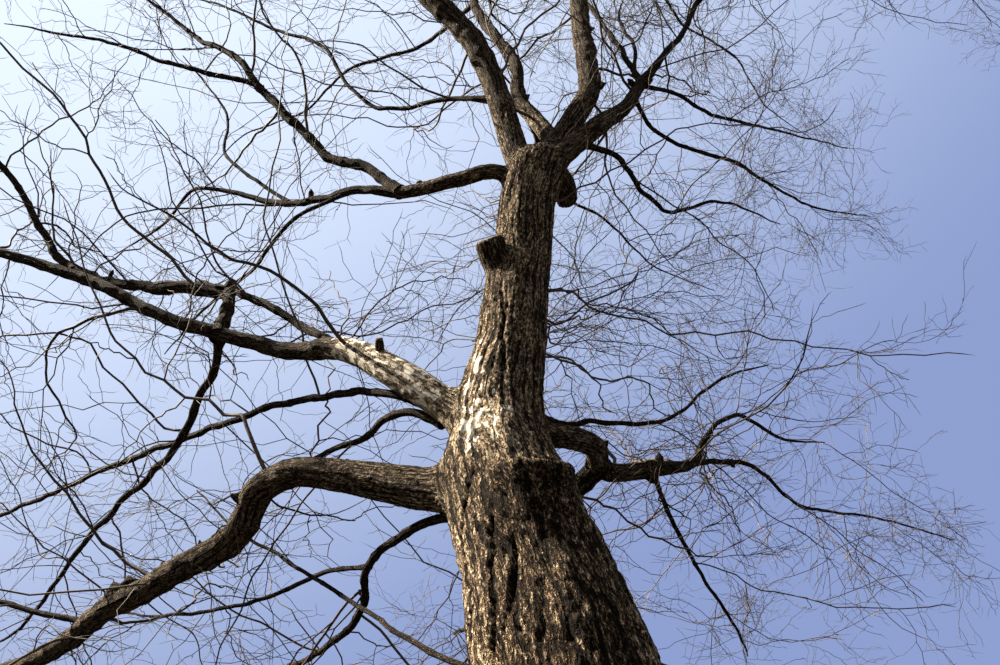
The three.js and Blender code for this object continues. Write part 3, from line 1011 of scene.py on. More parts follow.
class Graph:
    """A tree of shader nodes: each call adds a node and gives back its result."""

    def __init__(self, tree):
        self.nodes = tree.nodes
        self.links = tree.links

    def feed(self, socket, value):
        """Sets a socket to a constant or links a result to it."""
        if isinstance(value, bpy.types.NodeSocket):
            self.links.new(value, socket)
        elif socket.type == "RGBA":
            socket.default_value = (*value, 1)
        else:
            socket.default_value = value

    def attribute(self, name, output="Fac"):
        node = self.nodes.new("ShaderNodeAttribute")
        node.attribute_name = name
        return node.outputs[output]

    def sum(self, operation, *values):
        """A number worked out from others."""
        node = self.nodes.new("ShaderNodeMath")
        node.operation = operation
        for socket, value in zip(node.inputs, values):
            self.feed(socket, value)
        return node.outputs[0]

    def vector(self, operation, *values):
        """A vector, a length or a product worked out from vectors."""
        node = self.nodes.new("ShaderNodeVectorMath")
        node.operation = operation
        for socket, value in zip(node.inputs, values):
            self.feed(socket, value)
        return node.outputs["Value" if operation in ("LENGTH", "DOT_PRODUCT") else "Vector"]

    def mix(self, share, low, high):
        """A colour between two."""
        node = self.nodes.new("ShaderNodeMix")
        node.data_type = "RGBA"
        for socket, value in ((node.inputs[0], share), (node.inputs[6], low), (node.inputs[7], high)):
            self.feed(socket, value)
        return node.outputs[2]

    def ramp(self, value, low, high):
        """0 below low and 1 above high, with a smooth step between them."""
        node = self.nodes.new("ShaderNodeMapRange")
        node.interpolation_type = "SMOOTHSTEP"
        for socket, number in (("Value", value), ("From Min", low), ("From Max", high)):
            self.feed(node.inputs[socket], number)
        return node.outputs["Result"]

    def noise(self, place, scale, detail, roughness=0.6, output="Fac"):
        node = self.nodes.new("ShaderNodeTexNoise")
        node.inputs["Scale"].default_value = scale
        node.inputs["Detail"].default_value = detail
        node.inputs["Roughness"].default_value = roughness
        self.feed(node.inputs["Vector"], place)
        return node.outputs[output]

    def drawn_out(self, place, share):
        """A place with its length along the limb times share, so that a pattern is drawn out along it."""
        return self.vector("MULTIPLY", place, (1, 1, share))

    def patches(self, place, size, pattern):
        """Patches of 0 and of 1 with ragged edges, drawn out along the limb."""
        share, scale, detail, spread = pattern
        level = self.noise(self.drawn_out(place, share), scale / size, detail, 0.65)
        return self.ramp(level, 0.5 - spread, 0.5 + spread)

    def cracks(self, place, size, count, pattern):
        """Lines that wind along the limb, so many round it, and open and close: 0 in them, 1 beside."""
        to_metre, width = pattern
        scale = to_metre / size
        axes = self.nodes.new("ShaderNodeSeparateXYZ")
        self.feed(axes.inputs[0], place)
        turn = self.sum("ARCTAN2", axes.outputs[1], axes.outputs[0])
        stray = self.sum("MULTIPLY", self.noise(self.drawn_out(place, 0.3), scale, 4, 0.6), 2.6)
        line = self.sum("FRACT", self.sum("MULTIPLY_ADD", turn, count / FULL_TURN, stray))
        off = self.sum("ABSOLUTE", self.sum("SUBTRACT", line, 0.5))
        opening = self.ramp(self.noise(self.drawn_out(place, 0.25), 1.3 * scale, 2), 0.38, 0.6)
        reach = self.sum("MULTIPLY_ADD", opening, width, 0.2 * width)
        return self.ramp(self.sum("DIVIDE", off, reach), 0.45, 1.0)

    def weighed(self, total, *parts):
        """A total with each part added as often as its weight says, measured from the part's middle."""
        for part, weight in parts:
            total = self.sum("MULTIPLY_ADD", self.sum("SUBTRACT", part, 0.5), weight, total)
        return total

    def toned(self, tone, tones):
        """A colour from a dark, a middle and a light one, for a tone from 0 to 1."""
        low = self.mix(self.ramp(tone, 0.0, 0.5), tones[0], tones[1])
        return self.mix(self.ramp(tone, 0.5, 1.0), low, tones[2])


def new_material(name):
    material = bpy.data.materials.new(name)
    material.use_nodes = True
    return material, Graph(material.node_tree), material.node_tree.nodes["Principled BSDF"]


# Bark colours from its dark hollows to its light plates, for the trunk, the stout boughs and the
# other limbs; then cracks, bare wood under fallen plates, and sawn wood, light and dark. The
# darkest tones are partly painted shade in the gaps between flakes, and the lightest partly painted
# highlight on sunlit flakes. The other limbs' tones are darkened in part as painted shade, for
# the shaded sides that are seen from below, and the cracks' near black is painted shade.
TRUNK_TONES = ((0.016, 0.009, 0.004), (0.21, 0.135, 0.074), (0.94, 0.74, 0.5))
BOUGH_TONES = ((0.02, 0.012, 0.007), (0.14, 0.097, 0.06), (0.62, 0.5, 0.36))
LIMB_TONES_WITH_SHADE = ((0.01, 0.007, 0.005), (0.06, 0.042, 0.028), (0.26, 0.2, 0.14))
CRACK_SHADE_COLOUR = (0.008, 0.005, 0.003)
BARE = (0.94, 0.86, 0.72)
SAWN = (0.66, 0.5, 0.34)
SAWN_DARK = (0.3, 0.2, 0.125)
# The drawn patterns from broad to fine: their width as a share of their length, how many there are
# to a metre across, how often their edges are broken up, and how soft the edges are.
PLATES = (0.28, 34, 4, 0.045)
FLAKES = (0.35, 105, 3, 0.07)
SPECKS = (0.6, 230, 2, 0.1)
# The long cracks and the finer ones: how many to a metre along the limb, and how wide each is as a
# share of the space between two.
CRACKS = (7, 0.19)
FINE_CRACKS = (16, 0.15)
# How far what is drawn winds to and fro, and over how many bends to a metre.
WINDING = 0.024
BENDS = 18
# Paleness closes the cracks between these two values.
CRACKS_CLOSE = (0.9, 1.15)
# Where paleness and this noise pass these two values together, bare wood shows.
ISLANDS = 34
BARE_FROM = (0.795, 0.805)
BARE_BY_PALE = 0.27
# The yearly rings in sawn wood, as radians of a wave for each metre from the middle.
RING_WAVE = 900.0
# The height of the bark's drawn relief, and how high bare wood stands in it.
DRAWN_DEPTH = 0.016
BARE_RISE = 1.3


def bent_place(graph, place, size):
    """A place moved to and fro a little, so that what is drawn there winds."""
    bend = graph.noise(graph.drawn_out(place, 0.4), BENDS / size, 3, 0.6, "Color")
    bend = graph.vector("SUBTRACT", bend, (0.5, 0.5, 0.5))
    bend = graph.vector("MULTIPLY", bend, (WINDING * size,) * 3)
    return graph.vector("ADD", place, bend)


def sawn_wood(graph, bent, flakes):
    """The colour of a sawn face."""
    out = graph.vector("LENGTH", graph.drawn_out(bent, 0))
    rings = graph.sum("SINE", graph.sum("MULTIPLY", out, RING_WAVE))
    return graph.mix(graph.sum("MULTIPLY_ADD", rings, 0.25, flakes), SAWN_DARK, SAWN)


def draw_relief(graph, shader, rise, bare, depth):
    """Gives a shader its drawn relief, which is level where the wood is bare."""
    bare_rise = graph.sum("MULTIPLY", bare, BARE_RISE)
    rise = graph.sum("MULTIPLY_ADD", rise, graph.sum("SUBTRACT", 1.0, bare), bare_rise)
    bumps = graph.nodes.new("ShaderNodeBump")
    bumps.inputs["Distance"].default_value = depth
    graph.feed(bumps.inputs["Height"], rise)
    graph.feed(shader.inputs["Normal"], bumps.outputs["Normal"])


def bark_material(name, size, round_it, brown):
    """Bark in plates, flakes and specks. Its mesh holds the broad furrows, and the rest is drawn
    here. Size scales the pattern, which is smaller on thin limbs, round_it is how many long cracks
    there are round the limb, and brown is what the trunk's tones go over to: the boughs' brown, or
    the limbs' tones, darkened in part as painted shade."""
    material, graph, shader = new_material(name)
    place = graph.attribute("grain", "Vector")
    pale = graph.attribute("pale")
    bent = bent_place(graph, place, size)
    smooth = graph.ramp(pale, *CRACKS_CLOSE)
    split = graph.sum("MAXIMUM", graph.cracks(bent, size, round_it, CRACKS), smooth)
    fine_split = graph.sum("MAXIMUM", graph.cracks(bent, size, 3 * round_it, FINE_CRACKS), smooth)
    plates = graph.patches(bent, size, PLATES)
    flakes = graph.patches(bent, size, FLAKES)
    specks = graph.patches(place, size, SPECKS)
    fibres = graph.noise(graph.drawn_out(bent, 0.12), 110 / size, 3)
    spots = graph.noise(place, 6, 3)
    # The tone's specks and flakes are partly the bark's own mottling and partly painted shade and highlight
    # for the self-shadow of its fine relief. Paleness below 0 is painted shade.
    tone = graph.weighed(
        0.64, (graph.attribute("tone"), 0.25), (pale, 0.42), (spots, 0.7), (plates, 0.3),
        (flakes, 0.6), (specks, 0.5), (fibres, 0.6),
    )
    colour = graph.mix(graph.attribute("hue"), graph.toned(tone, TRUNK_TONES), graph.toned(tone, brown))
    island = graph.noise(graph.drawn_out(bent, 0.6), ISLANDS, 2, 0.5)
    bare = graph.ramp(graph.sum("MULTIPLY_ADD", pale, BARE_BY_PALE, island), *BARE_FROM)
    colour = graph.mix(bare, colour, BARE)
    whole = graph.sum("MULTIPLY", graph.sum("MULTIPLY_ADD", fine_split, 0.75, 0.25), split)
    whole = graph.sum("MAXIMUM", whole, graph.sum("MULTIPLY", flakes, 0.12))
    # Cracks take a near-black colour: painted shade in them.
    colour = graph.mix(whole, CRACK_SHADE_COLOUR, colour)
    colour = graph.mix(graph.attribute("sawn"), colour, sawn_wood(graph, bent, flakes))
    graph.feed(shader.inputs["Base Color"], colour)
    graph.feed(shader.inputs["Roughness"], graph.sum("MULTIPLY_ADD", specks, 0.15, 0.8))
    shader.inputs["Specular IOR Level"].default_value = 0.08
    rise = graph.weighed(
        0.0, (split, 1.6), (fine_split, 0.45), (plates, 0.5), (flakes, 0.45), (specks, 0.25),
        (fibres, 0.6),
    )
    draw_relief(graph, shader, rise, bare, DRAWN_DEPTH * size)
    return material


def mottled_material(name, dark, light):
    """Young smooth bark of two near tones."""
    material, graph, shader = new_material(name)
    place = graph.nodes.new("ShaderNodeTexCoord").outputs["Object"]
    share = graph.ramp(graph.noise(place, 55, 3), 0.35, 0.65)
    graph.feed(shader.inputs["Base Color"], graph.mix(share, dark, light))
    shader.inputs["Roughness"].default_value = 0.7
    shader.inputs["Specular IOR Level"].default_value = 0.3
    return material


def plain_material(name, colour, roughness):
    material, _, shader = new_material(name)
    shader.inputs["Base Color"].default_value = (*colour, 1)
    shader.inputs["Roughness"].default_value = roughness
    return material


def hold_values(mesh, values, grain):
    """Writes the bark's tones and its grain's places into a mesh."""
    for name, numbers in values.items():
        made = mesh.attributes.new(name, "FLOAT", "POINT")
        made.data.foreach_set("value", numbers.astype(np.float32))
    made = mesh.attributes.new("grain", "FLOAT_VECTOR", "POINT")
    made.data.foreach_set("vector", grain.astype(np.float32).ravel())


def finish_piece(name, mesh, material, nodes):
    """Puts a mesh of bark in the scene, under the root, and hides the imported nodes that it stands for."""
    mesh.materials.append(material)
    mesh.polygons.foreach_set("use_smooth", np.ones(len(mesh.polygons), bool))
    piece = object_of(name, mesh)
    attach(piece, "root")
    if nodes:
        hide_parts(*nodes)


# The trunk's skin is cut into pieces at these heights.
SKIN_CUTS = (2.35, 4.3)


def build_skin(material):
    """The shared skin in its pieces."""
    points, quads, cut, normals, values, grain, face_part, names = make_skin()
    height = points[quads, 2].mean(axis=1)
    is_stub = np.isin(face_part, [names.index(name) for name in STUBS])
    is_trunk = face_part == 0
    low, high = SKIN_CUTS
    middle = is_trunk & (height >= low) & (height < high)
    groups = (
        ("trunk_bark_lower", is_trunk & (height < low), "trunk_bark", ["trunk"]),
        ("trunk_bark_middle", middle, "trunk_bark", ["trunk", GROWN_OVER]),
        ("trunk_bark_upper", is_trunk & (height >= high), "trunk_bark", ["trunk"]),
        ("bough_feet_bark", ~is_trunk & ~is_stub, "bough_bark", []),
        ("stubs_bark", is_stub, "stub_wood", [name for name in STUBS if name != GROWN_OVER]),
    )
    for name, chosen, slot, nodes in groups:
        used = np.unique(quads[chosen])
        faces = [np.searchsorted(used, quads[chosen])]
        if name == "trunk_bark_lower":
            used = np.append(used, len(points) - 1)
            faces.append(np.searchsorted(used, cut))
        mesh = mesh_of(name, points[used], *faces)
        hold_values(mesh, {key: numbers[used] for key, numbers in values.items()}, grain[used])
        finish_piece(name, mesh, material, nodes)
        mesh.normals_split_custom_set_from_vertices(normals[used])


# Limbs as tubes of bark

# The length of a tube's faces round and along it, the fewest and most sides it has, and its fewest
# rings.
FACE_ROUND = 0.0115
FACE_ALONG = 0.02
TUBE_SIDES_RANGE = (8, 44)
LEAST_RINGS = 8
# How far a tube flares where it leaves its parent, and how far apart its knots are.
FLARE = 0.55
KNOT_SPACING = 0.19
# How much it swells at a knot, in the skin's boughs and in the other limbs.
SKIN_KNOTS = 0.1
KNOTS = 0.18
# How high its lumps are as a share of its radius, and how long.
LUMP_SHARE = 0.06
LUMP_LENGTH = 0.06
# Its last ring is this share of the limb's radius, and its tip this share of a step further on.
TIP_RADIUS = 0.25
TIP_STEP = 0.05
# A bough is brown where it is thinner than the first of these radii, and less so up to the second:
# it takes the limbs' tones, darkened in part as painted shade.
BROWN_RADII = (0.025, 0.06)
# Within each space between two knots, the next one stays this share of it from its ends.
KNOT_MARGIN = 0.2


def knots_on(limb, along):
    """How much a limb swells at the knots where shoots leave it, from 0 to 1."""
    count = int(limb.length / KNOT_SPACING) + 1
    numbers = np.arange(count)
    off = (1 - 2 * KNOT_MARGIN) * scrambled(numbers, numbers * 0, limb.seed)
    places = (numbers + KNOT_MARGIN + off) * KNOT_SPACING
    widths = 0.012 + 0.3 * np.interp(places, limb.along, limb.radii)
    off = (along[:, None] - places[None]) / widths[None]
    return np.exp(-(off**2)).max(axis=1)


def tube_grid(limb, start):
    """How far along the limb a tube's rings are, and how many sides it has."""
    thick = np.interp(start, limb.along, limb.radii)
    sides = int(np.clip(FULL_TURN * thick / FACE_ROUND, *TUBE_SIDES_RANGE))
    step = max(FACE_ALONG, 0.7 * FULL_TURN * thick / sides)
    rings = max(LEAST_RINGS, int((limb.length - start) / step))
    return np.linspace(start, limb.length, rings), sides


def tube_form(limb, along, radii):
    """A tube's radii with its flare and knots, and how strong its relief and its lumps are."""
    knots = knots_on(limb, along)
    if limb.name in SKIN_BOUGHS:
        start = along[0]
        thinned = eased(along, SKIN_REACH, SKIN_REACH + 0.5)
        strength = blend(1.0, np.clip(radii / 0.06, 0.25, 1), thinned)
        grown = radii * (1 - DRAW_IN * eased(-along, -start - DRAW_IN_LENGTH, -start))
        return grown * (1 + SKIN_KNOTS * knots * thinned), strength, thinned
    strength = np.clip(radii / 0.02, 0.2, 1.6)
    flare = FLARE * np.exp(-along / (2.2 * limb.radii[0] + 0.01))
    grown = radii * (1 + flare + KNOTS * knots)
    return grown, strength, np.ones(len(along))


def limb_tube(limb):
    """The points, faces, values and grain of a limb's bark."""
    in_skin = limb.name in SKIN_BOUGHS
    along, sides = tube_grid(limb, SKIN_REACH - OVERLAP if in_skin else 0.0)
    rings = len(along)
    middles, radii, _, side, other = limb.at(along)
    turns = np.mod(even_turns(sides) + math.pi, FULL_TURN) - math.pi
    grid_along = np.repeat(along[:, None], sides, axis=1)
    grid_turn = np.repeat(turns[None], rings, axis=0)
    bark = BOUGH_BARK if in_skin else LIMB_BARK
    mean_radius = limb.radii[limb.along <= SKIN_REACH].mean() if in_skin else 0.6 * limb.radii[0]
    number = 1 + SKIN_BOUGHS.index(limb.name) if in_skin else 40 + limb.seed % 50
    height, tone = relief(bark, mean_radius, grid_along, grid_turn, LIMB_SEEDS * number)
    grown, strength, lumpy = tube_form(limb, along, radii)
    across = grid_turn / FULL_TURN * 3 + 1.5
    lumps = rough_noise(across, grid_along / LUMP_LENGTH, 3, limb.seed + 3, 2)
    lumps *= LUMP_SHARE * (radii * lumpy)[:, None]
    reach = grown[:, None] + height * strength[:, None] + lumps
    reach[-1] = TIP_RADIUS * radii[-1]
    points = ring_points(middles, reach, side, other, sides).reshape(-1, 3)
    tip = middles[-1:] + (middles[-1:] - middles[-2:-1]) * TIP_STEP
    points = np.concatenate([points, tip])
    fan = end_fan((rings - 1) * sides, sides, rings * sides)
    brown, less = BROWN_RADII
    hue = blend(bark.hue, 1.0, eased(-radii, -less, -brown)) if in_skin else np.full(rings, bark.hue)
    pale = PALE_BOUGH_SHARE * (limb.name == PALE_BOUGH) * eased(-along, -PALE_TO, 0.3 - PALE_TO)
    values = {
        "tone": with_tip(tone),
        "hue": with_tip(np.repeat(hue[:, None], sides, axis=1)),
        "pale": with_tip(np.repeat(pale[:, None], sides, axis=1)),
        "sawn": np.zeros(len(points)),
    }
    grain = grain_place(radii[:, None], grid_turn, grid_along + number).reshape(-1, 3)
    return points, ring_faces(rings, sides), fan, values, np.concatenate([grain, grain[-1:]])


def with_tip(grid):
    """A tube's values as a list, with the last one once more for the point at its tip."""
    flat = grid.ravel()
    return np.append(flat, flat[-1])


def build_limbs(material):
    """A tube of bark for each limb."""
    for limb in limbs.values():
        points, quads, fan, values, grain = limb_tube(limb)
        mesh = mesh_of(limb.name + "_bark", points, quads, fan)
        hold_values(mesh, values, grain)
        finish_piece(limb.name + "_bark", mesh, material, limb.nodes)


# Burrs, snags and sawn ends on the limbs: the limb, how far along it, the way that it points, its
# radius, how far it stands out, and whether its end is a sawn face.
SNAGS = (
    ("low_left_bough", 1.33, (-0.8, -0.5, 0.3), 0.02, 0.035, False),
    ("low_left_bough", 2.5, (-0.3, -0.5, 0.9), 0.046, 0.04, False),
    ("low_left_bough", 2.63, (-0.5, -0.4, 0.8), 0.055, 0.035, False),
    ("low_left_bough", 2.2, (-0.2, -0.2, 1.0), 0.012, 0.03, False),
    ("low_left_bough", 1.85, (-0.3, -0.4, 0.9), 0.012, 0.02, False),
    ("mid_left_bough", 0.76, (-0.3, -0.6, 0.8), 0.02, 0.05, True),
    ("mid_left_bough", 1.9, (0.2, -0.6, -0.6), 0.02, 0.04, False),
    ("mid_left_riser", 0.5, (0.5, -0.2, 0.9), 0.031, 0.06, True),
    ("mid_left_riser", 1.45, (0.0, -0.3, 0.9), 0.012, 0.05, False),
    ("upper_left_bough", 0.72, (0.1, -0.2, 1.0), 0.02, 0.03, False),
    ("upper_left_bough", 1.72, (-0.3, -0.3, 0.9), 0.018, 0.05, False),
    ("upper_left_riser", 1.0, (-0.5, -0.5, 0.5), 0.014, 0.03, False),
    ("centre_leader", 1.08, (0.9, -0.4, 0.0), 0.03, 0.035, False),
    ("centre_leader", 2.0, (0.9, -0.3, 0.1), 0.018, 0.03, False),
    ("left_leader", 1.2, (-0.9, -0.4, 0.1), 0.02, 0.025, False),
    ("back_leader", 1.0, (0.8, -0.5, 0.2), 0.018, 0.03, False),
    ("right_leader", 0.95, (0.3, -0.5, -0.7), 0.028, 0.03, False),
    ("right_leader", 1.5, (0.8, -0.4, 0.0), 0.024, 0.05, False),
    ("right_leader", 1.42, (-0.6, -0.5, 0.4), 0.02, 0.05, False),
    ("right_bough", 0.56, (0.7, -0.4, 0.5), 0.016, 0.02, False),
    ("right_bough", 0.68, (-0.9, -0.5, 0.1), 0.03, 0.015, True),
    ("right_bough", 1.08, (-0.2, -0.4, -0.9), 0.028, 0.05, False),
    ("right_bough", 1.2, (0.2, -0.3, 0.9), 0.02, 0.035, False),
    ("right_fork", 0.5, (0.1, -0.3, -0.9), 0.012, 0.03, False),
    ("low_back_limb", 0.99, (-0.6, -0.4, 0.6), 0.014, 0.025, False),
)
SNAG_SIDES = 18
SNAG_RINGS = 12
# How much of its thickness a broken snag and a sawn one keep at the end, and how rough each is.
SNAG_ENDS = (0.35, 0.75)
SNAG_ROUGHNESS = (0.22, 0.1)
# A snag draws in from this share of its length on, and a broken one ends in a point this many of
# its radii further out.
SNAG_TAPER = 0.75
SNAG_POINT = 0.3
# How many lumps there are round it, and how long they are.
SNAG_LUMPS = 5
SNAG_LUMP_LENGTH = 0.02
# How far the snags' colour is the limbs' tones, darkened in part as painted shade, and where their
# grain is read.
SNAG_HUE = 0.7
SNAG_GRAIN = 300


def snag(number, name, along, way, radius, out, sawn):
    """A snag's points, quads and fan, the sawn share and tone of its points, and its grain."""
    middle, limb_radius, tangent, _, _ = limbs[name].at(np.array([along]))
    way = unit(np.array(way) - tangent[0] * tangent[0].dot(unit(np.array(way))) * 0.8)
    share = np.linspace(0, 1, SNAG_RINGS)
    down = share * (limb_radius[0] + out)
    bulge = 1 + 0.9 * np.clip(1 - down / limb_radius[0], 0, 1)
    radii = radius * bulge * (1 - (1 - SNAG_ENDS[sawn]) * eased(share, SNAG_TAPER, 1.0))
    side = unit(np.cross(way, tangent[0]))
    across = np.repeat(np.stack([side, np.cross(way, side)])[:, None], SNAG_RINGS, axis=1)
    middles = middle + way * down[:, None]
    turns = even_turns(SNAG_SIDES)
    round_it = np.repeat(turns[None] / FULL_TURN * SNAG_LUMPS, SNAG_RINGS, axis=0)
    along_it = np.repeat(down[:, None] / SNAG_LUMP_LENGTH, SNAG_SIDES, axis=1)
    rough = rough_noise(round_it, along_it, SNAG_LUMPS, SNAG_SEED + number, 2)
    reach = radii[:, None] * (1 + SNAG_ROUGHNESS[sawn] * rough)
    rings = ring_points(middles, reach, *across, SNAG_SIDES).reshape(-1, 3)
    points = np.concatenate([rings, middles[-1:] + way * (0.0 if sawn else SNAG_POINT * radius)])
    fan = end_fan((SNAG_RINGS - 1) * SNAG_SIDES, SNAG_SIDES, SNAG_RINGS * SNAG_SIDES)
    deep = down[:, None] + SNAG_GRAIN + number
    grain = grain_place(radii[:, None], turns[None], deep).reshape(-1, 3)
    face = np.zeros((SNAG_RINGS, SNAG_SIDES))
    face[-1] = sawn
    values = np.stack([with_tip(face), with_tip(0.5 + 0.3 * rough)])
    shape = (points, ring_faces(SNAG_RINGS, SNAG_SIDES), fan)
    return shape, values, np.concatenate([grain, [[0, 0, grain[-1, 2]]]])


def build_snags(material):
    """All snags as one piece."""
    shapes, values, grains = zip(*[snag(number, *how) for number, how in enumerate(SNAGS)])
    mesh = mesh_of("snags_bark", *joined(shapes))
    sawn, tone = np.concatenate(values, axis=1)
    zero = np.zeros(len(tone))
    shown = {"tone": tone, "hue": zero + SNAG_HUE, "pale": zero, "sawn": sawn}
    hold_values(mesh, shown, np.concatenate(grains))
    finish_piece("snags_bark", mesh, material, [])


# Branches, shoots and twigs

SHOOT_SEED = 11
rng = np.random.default_rng(SHOOT_SEED)

# Where none grows: the space in front of the trunk where the viewer stands, and near the ground.
CLEAR_BOXES = (
    ((-0.85, -6.0, 0.0), (0.75, 0.35, 6.1)),
    ((-1.6, -6.0, 0.0), (-0.85, 0.1, 6.1)),
)
LOWEST_SHOOT = 2.5
# How far a twig may pass the solids' box.
BOX_MARGIN = 0.05
# On the crown's left only this share of the shoots grow. All do from the second of these places on.
LEFT_SHARE = 0.66
LEFT_SIDE = (-1.2, 0.6)
# How strongly a shoot that strays turns back to its first way at each step, how far it bends to and
# fro, how far it strays, and how much it turns up.
HOLD = 0.14
ZIGZAG = 0.19
WANDER = 0.17
LIFT = 0.006
# Between what shares of its even size each bend and each step is.
BEND_RANGE = (0.1, 1.7)
STEP_RANGE = (0.65, 1.35)
# How fast a shoot thins toward its tip: 1 would be evenly.
THINNING = 0.8
# Tones of the shoots and twigs, dealt out by spray, each from dark to light: the last is pale, and few
# shoots take it.
TWIG_TONES = (
    ((0.045, 0.032, 0.025), (0.09, 0.066, 0.05)),
    ((0.07, 0.045, 0.034), (0.13, 0.086, 0.062)),
    ((0.09, 0.07, 0.055), (0.17, 0.135, 0.105)),
    ((0.3, 0.245, 0.18), (0.46, 0.385, 0.29)),
)
PALE_TWIG_TONE = len(TWIG_TONES) - 1


class Shoots:
    """Shoots of one kind: points for each, radii, the side they bend to, which way along it they
    bend first, and their tone."""

    FIELDS = ("points", "radii", "side", "sign", "tone")

    def __init__(self, points, radii, side, sign, tone):
        self.points = points
        self.radii = radii
        self.side = side
        self.sign = sign
        self.tone = tone

    def rounded(self):
        """The same shoots with a point more between each two, so that they bend in curves."""
        ends = [2 * self.points[:, :1] - self.points[:, 1:2], self.points]
        ends.append(2 * self.points[:, -1:] - self.points[:, -2:-1])
        line = np.concatenate(ends, axis=1)
        between = (9 * (line[:, 1:-2] + line[:, 2:-1]) - line[:, :-3] - line[:, 3:]) / 16
        count, places = self.radii.shape
        points = np.empty((count, 2 * places - 1, 3))
        points[:, ::2], points[:, 1::2] = self.points, between
        radii = np.empty((count, 2 * places - 1))
        radii[:, ::2], radii[:, 1::2] = self.radii, (self.radii[:, 1:] + self.radii[:, :-1]) / 2
        return Shoots(points, radii, self.side, self.sign, self.tone)

    def kept(self, chosen):
        return Shoots(*[getattr(self, field)[chosen] for field in self.FIELDS])


def allowed(points):
    """Which shoots keep out of the clear space and inside the solids' box."""
    low = np.array(cad_box[0]) - BOX_MARGIN
    high = np.array(cad_box[1]) + BOX_MARGIN
    inside = np.all((points > low) & (points < high), axis=(1, 2))
    for box_low, box_high in CLEAR_BOXES:
        inside &= ~np.all((points > box_low) & (points < box_high), axis=2).any(axis=1)
    return inside & (points[:, :, 2].min(axis=1) > LOWEST_SHOOT)


def spread_out(base):
    """Whether each shoot grows: fewer do on the crown's left, where more limbs cross each other."""
    return rng.random(len(base)) < blend(LEFT_SHARE, 1.0, eased(base[:, 0], *LEFT_SIDE))


def leaning(turn, along, outward):
    """The way that leans outward from a limb by an angle, and the way square to it."""
    heading = np.cos(turn) * along + np.sin(turn) * outward
    return heading, np.cos(turn) * outward - np.sin(turn) * along


def grow(base, heading, side, length, radius, tone, steps, tip):
    """Shoots from their bases: each bends to and fro in its own flat spray and strays a little."""
    count = len(base)
    points = np.empty((count, steps + 1, 3))
    points[:, 0] = base
    sign = rng.choice([-1.0, 1.0], count)
    first_way = unit(heading)
    way = first_way
    for step in range(steps):
        way = unit(blend(way, first_way, HOLD) + WANDER * rng.normal(size=(count, 3)) + LIFT * UP)
        bend = ZIGZAG * sign * (-1) ** step * rng.uniform(*BEND_RANGE, count)
        stride = (length / steps * rng.uniform(*STEP_RANGE, count))[:, None]
        points[:, step + 1] = points[:, step] + unit(way + bend[:, None] * side) * stride
    thinning = (1 - np.arange(steps + 1) / steps) ** THINNING
    radii = tip + (radius[:, None] - tip) * thinning[None]
    shoots = Shoots(points, radii, side, sign, tone)
    return shoots.kept(allowed(points) & spread_out(base))


def grow_on(parents, chance, first, angle, share, least, most, thinner, thickest, steps, tip):
    """Shoots that leave their parents at the outer side of their bends."""
    count, places = parents.points.shape[:2]
    node = np.arange(first, places - 1)
    taken = rng.random((count, len(node))) < chance
    which, column = np.nonzero(taken)
    at = node[column]
    base = parents.points[which, at]
    before = unit(parents.points[which, at] - parents.points[which, at - 1])
    hand = (parents.sign[which] * (-1.0) ** (at - 1))[:, None]
    side = parents.side[which]
    flat = square_to(side, before)
    across = np.cross(before, flat)
    tilt = rng.normal(0, 0.55, len(which))[:, None]
    turn = np.radians(rng.uniform(*angle, len(which)))[:, None]
    outward = unit(hand * flat + tilt * across)
    heading, new_side = leaning(turn, before, outward)
    new_side = square_to(new_side + 0.5 * rng.normal(size=heading.shape), heading)
    whole = np.linalg.norm(np.diff(parents.points[which], axis=1), axis=2).sum(axis=1)
    left = whole * (1 - at / (places - 1))
    length = np.clip(share * left, least, most) * rng.uniform(0.5, 1.25, len(which))
    radius = np.minimum(thinner * parents.radii[which, at], thickest)
    return grow(base, heading, new_side, length, radius, parents.tone[which], steps, tip)


def from_limbs(spacing, start, angle, share, extra, least, most, thinner, thickest, steps, tip, pale_share):
    """Branches or shoots that leave every limb, alternately to its two sides."""
    base, heading, side, length, radius = [], [], [], [], []
    for limb in limbs.values():
        count = max(1, int(limb.length / spacing))
        part = (np.arange(count) + rng.uniform(0.15, 0.85, count)) / count
        places = limb.length * (start + (0.99 - start) * part**0.85)
        middles, radii, tangents, _, _ = limb.at(places)
        flat = unit(np.cross(tangents, UP) + 0.2 * rng.normal(size=tangents.shape))
        hand = np.where(np.arange(count) % 2, 1.0, -1.0)
        roll = rng.normal(0, 0.8, count)
        outward = hand[:, None] * np.cos(roll)[:, None] * flat
        outward = outward + np.sin(roll)[:, None] * np.cross(flat, tangents)
        turn = np.radians(rng.uniform(*angle, count))[:, None]
        way, across = leaning(turn, tangents, square_to(outward, tangents))
        base.append(middles)
        heading.append(way)
        side.append(across)
        left = limb.length - places
        length.append(np.clip(share * left + extra, least, most) * rng.uniform(0.6, 1.15, count))
        radius.append(np.clip(thinner * radii, tip, thickest))
    columns = [np.concatenate(group) for group in (base, heading, side, length, radius)]
    tone = rng.integers(0, PALE_TWIG_TONE, len(columns[0]))
    tone[rng.random(len(tone)) < pale_share] = PALE_TWIG_TONE
    return grow(*columns, tone, steps, tip)


def joined_shoots(*groups):
    rows = [[getattr(group, field) for group in groups] for field in Shoots.FIELDS]
    return Shoots(*[np.concatenate(row) for row in rows])


def free_branches(base, heading, least, most, radius, steps, tip):
    """Branches that leave their bases each in its own way."""
    count = len(base)
    side = unit(np.cross(heading, UP))
    length = rng.uniform(least, most, count)
    tone = rng.integers(0, PALE_TWIG_TONE, count)
    return grow(base, heading, side, length, np.full(count, radius), tone, steps, tip)


# Branches from the upper trunk's back, which fill the crown's middle: how many, from which heights,
# from which turns, and how steeply they rise.
TRUNK_SHOOTS = 18
TRUNK_SHOOTS_FROM = (3.9, 5.9)
TRUNK_SHOOTS_TURNS = (-0.25, 2.2)
TRUNK_SHOOTS_RISE = (0.1, 0.9)


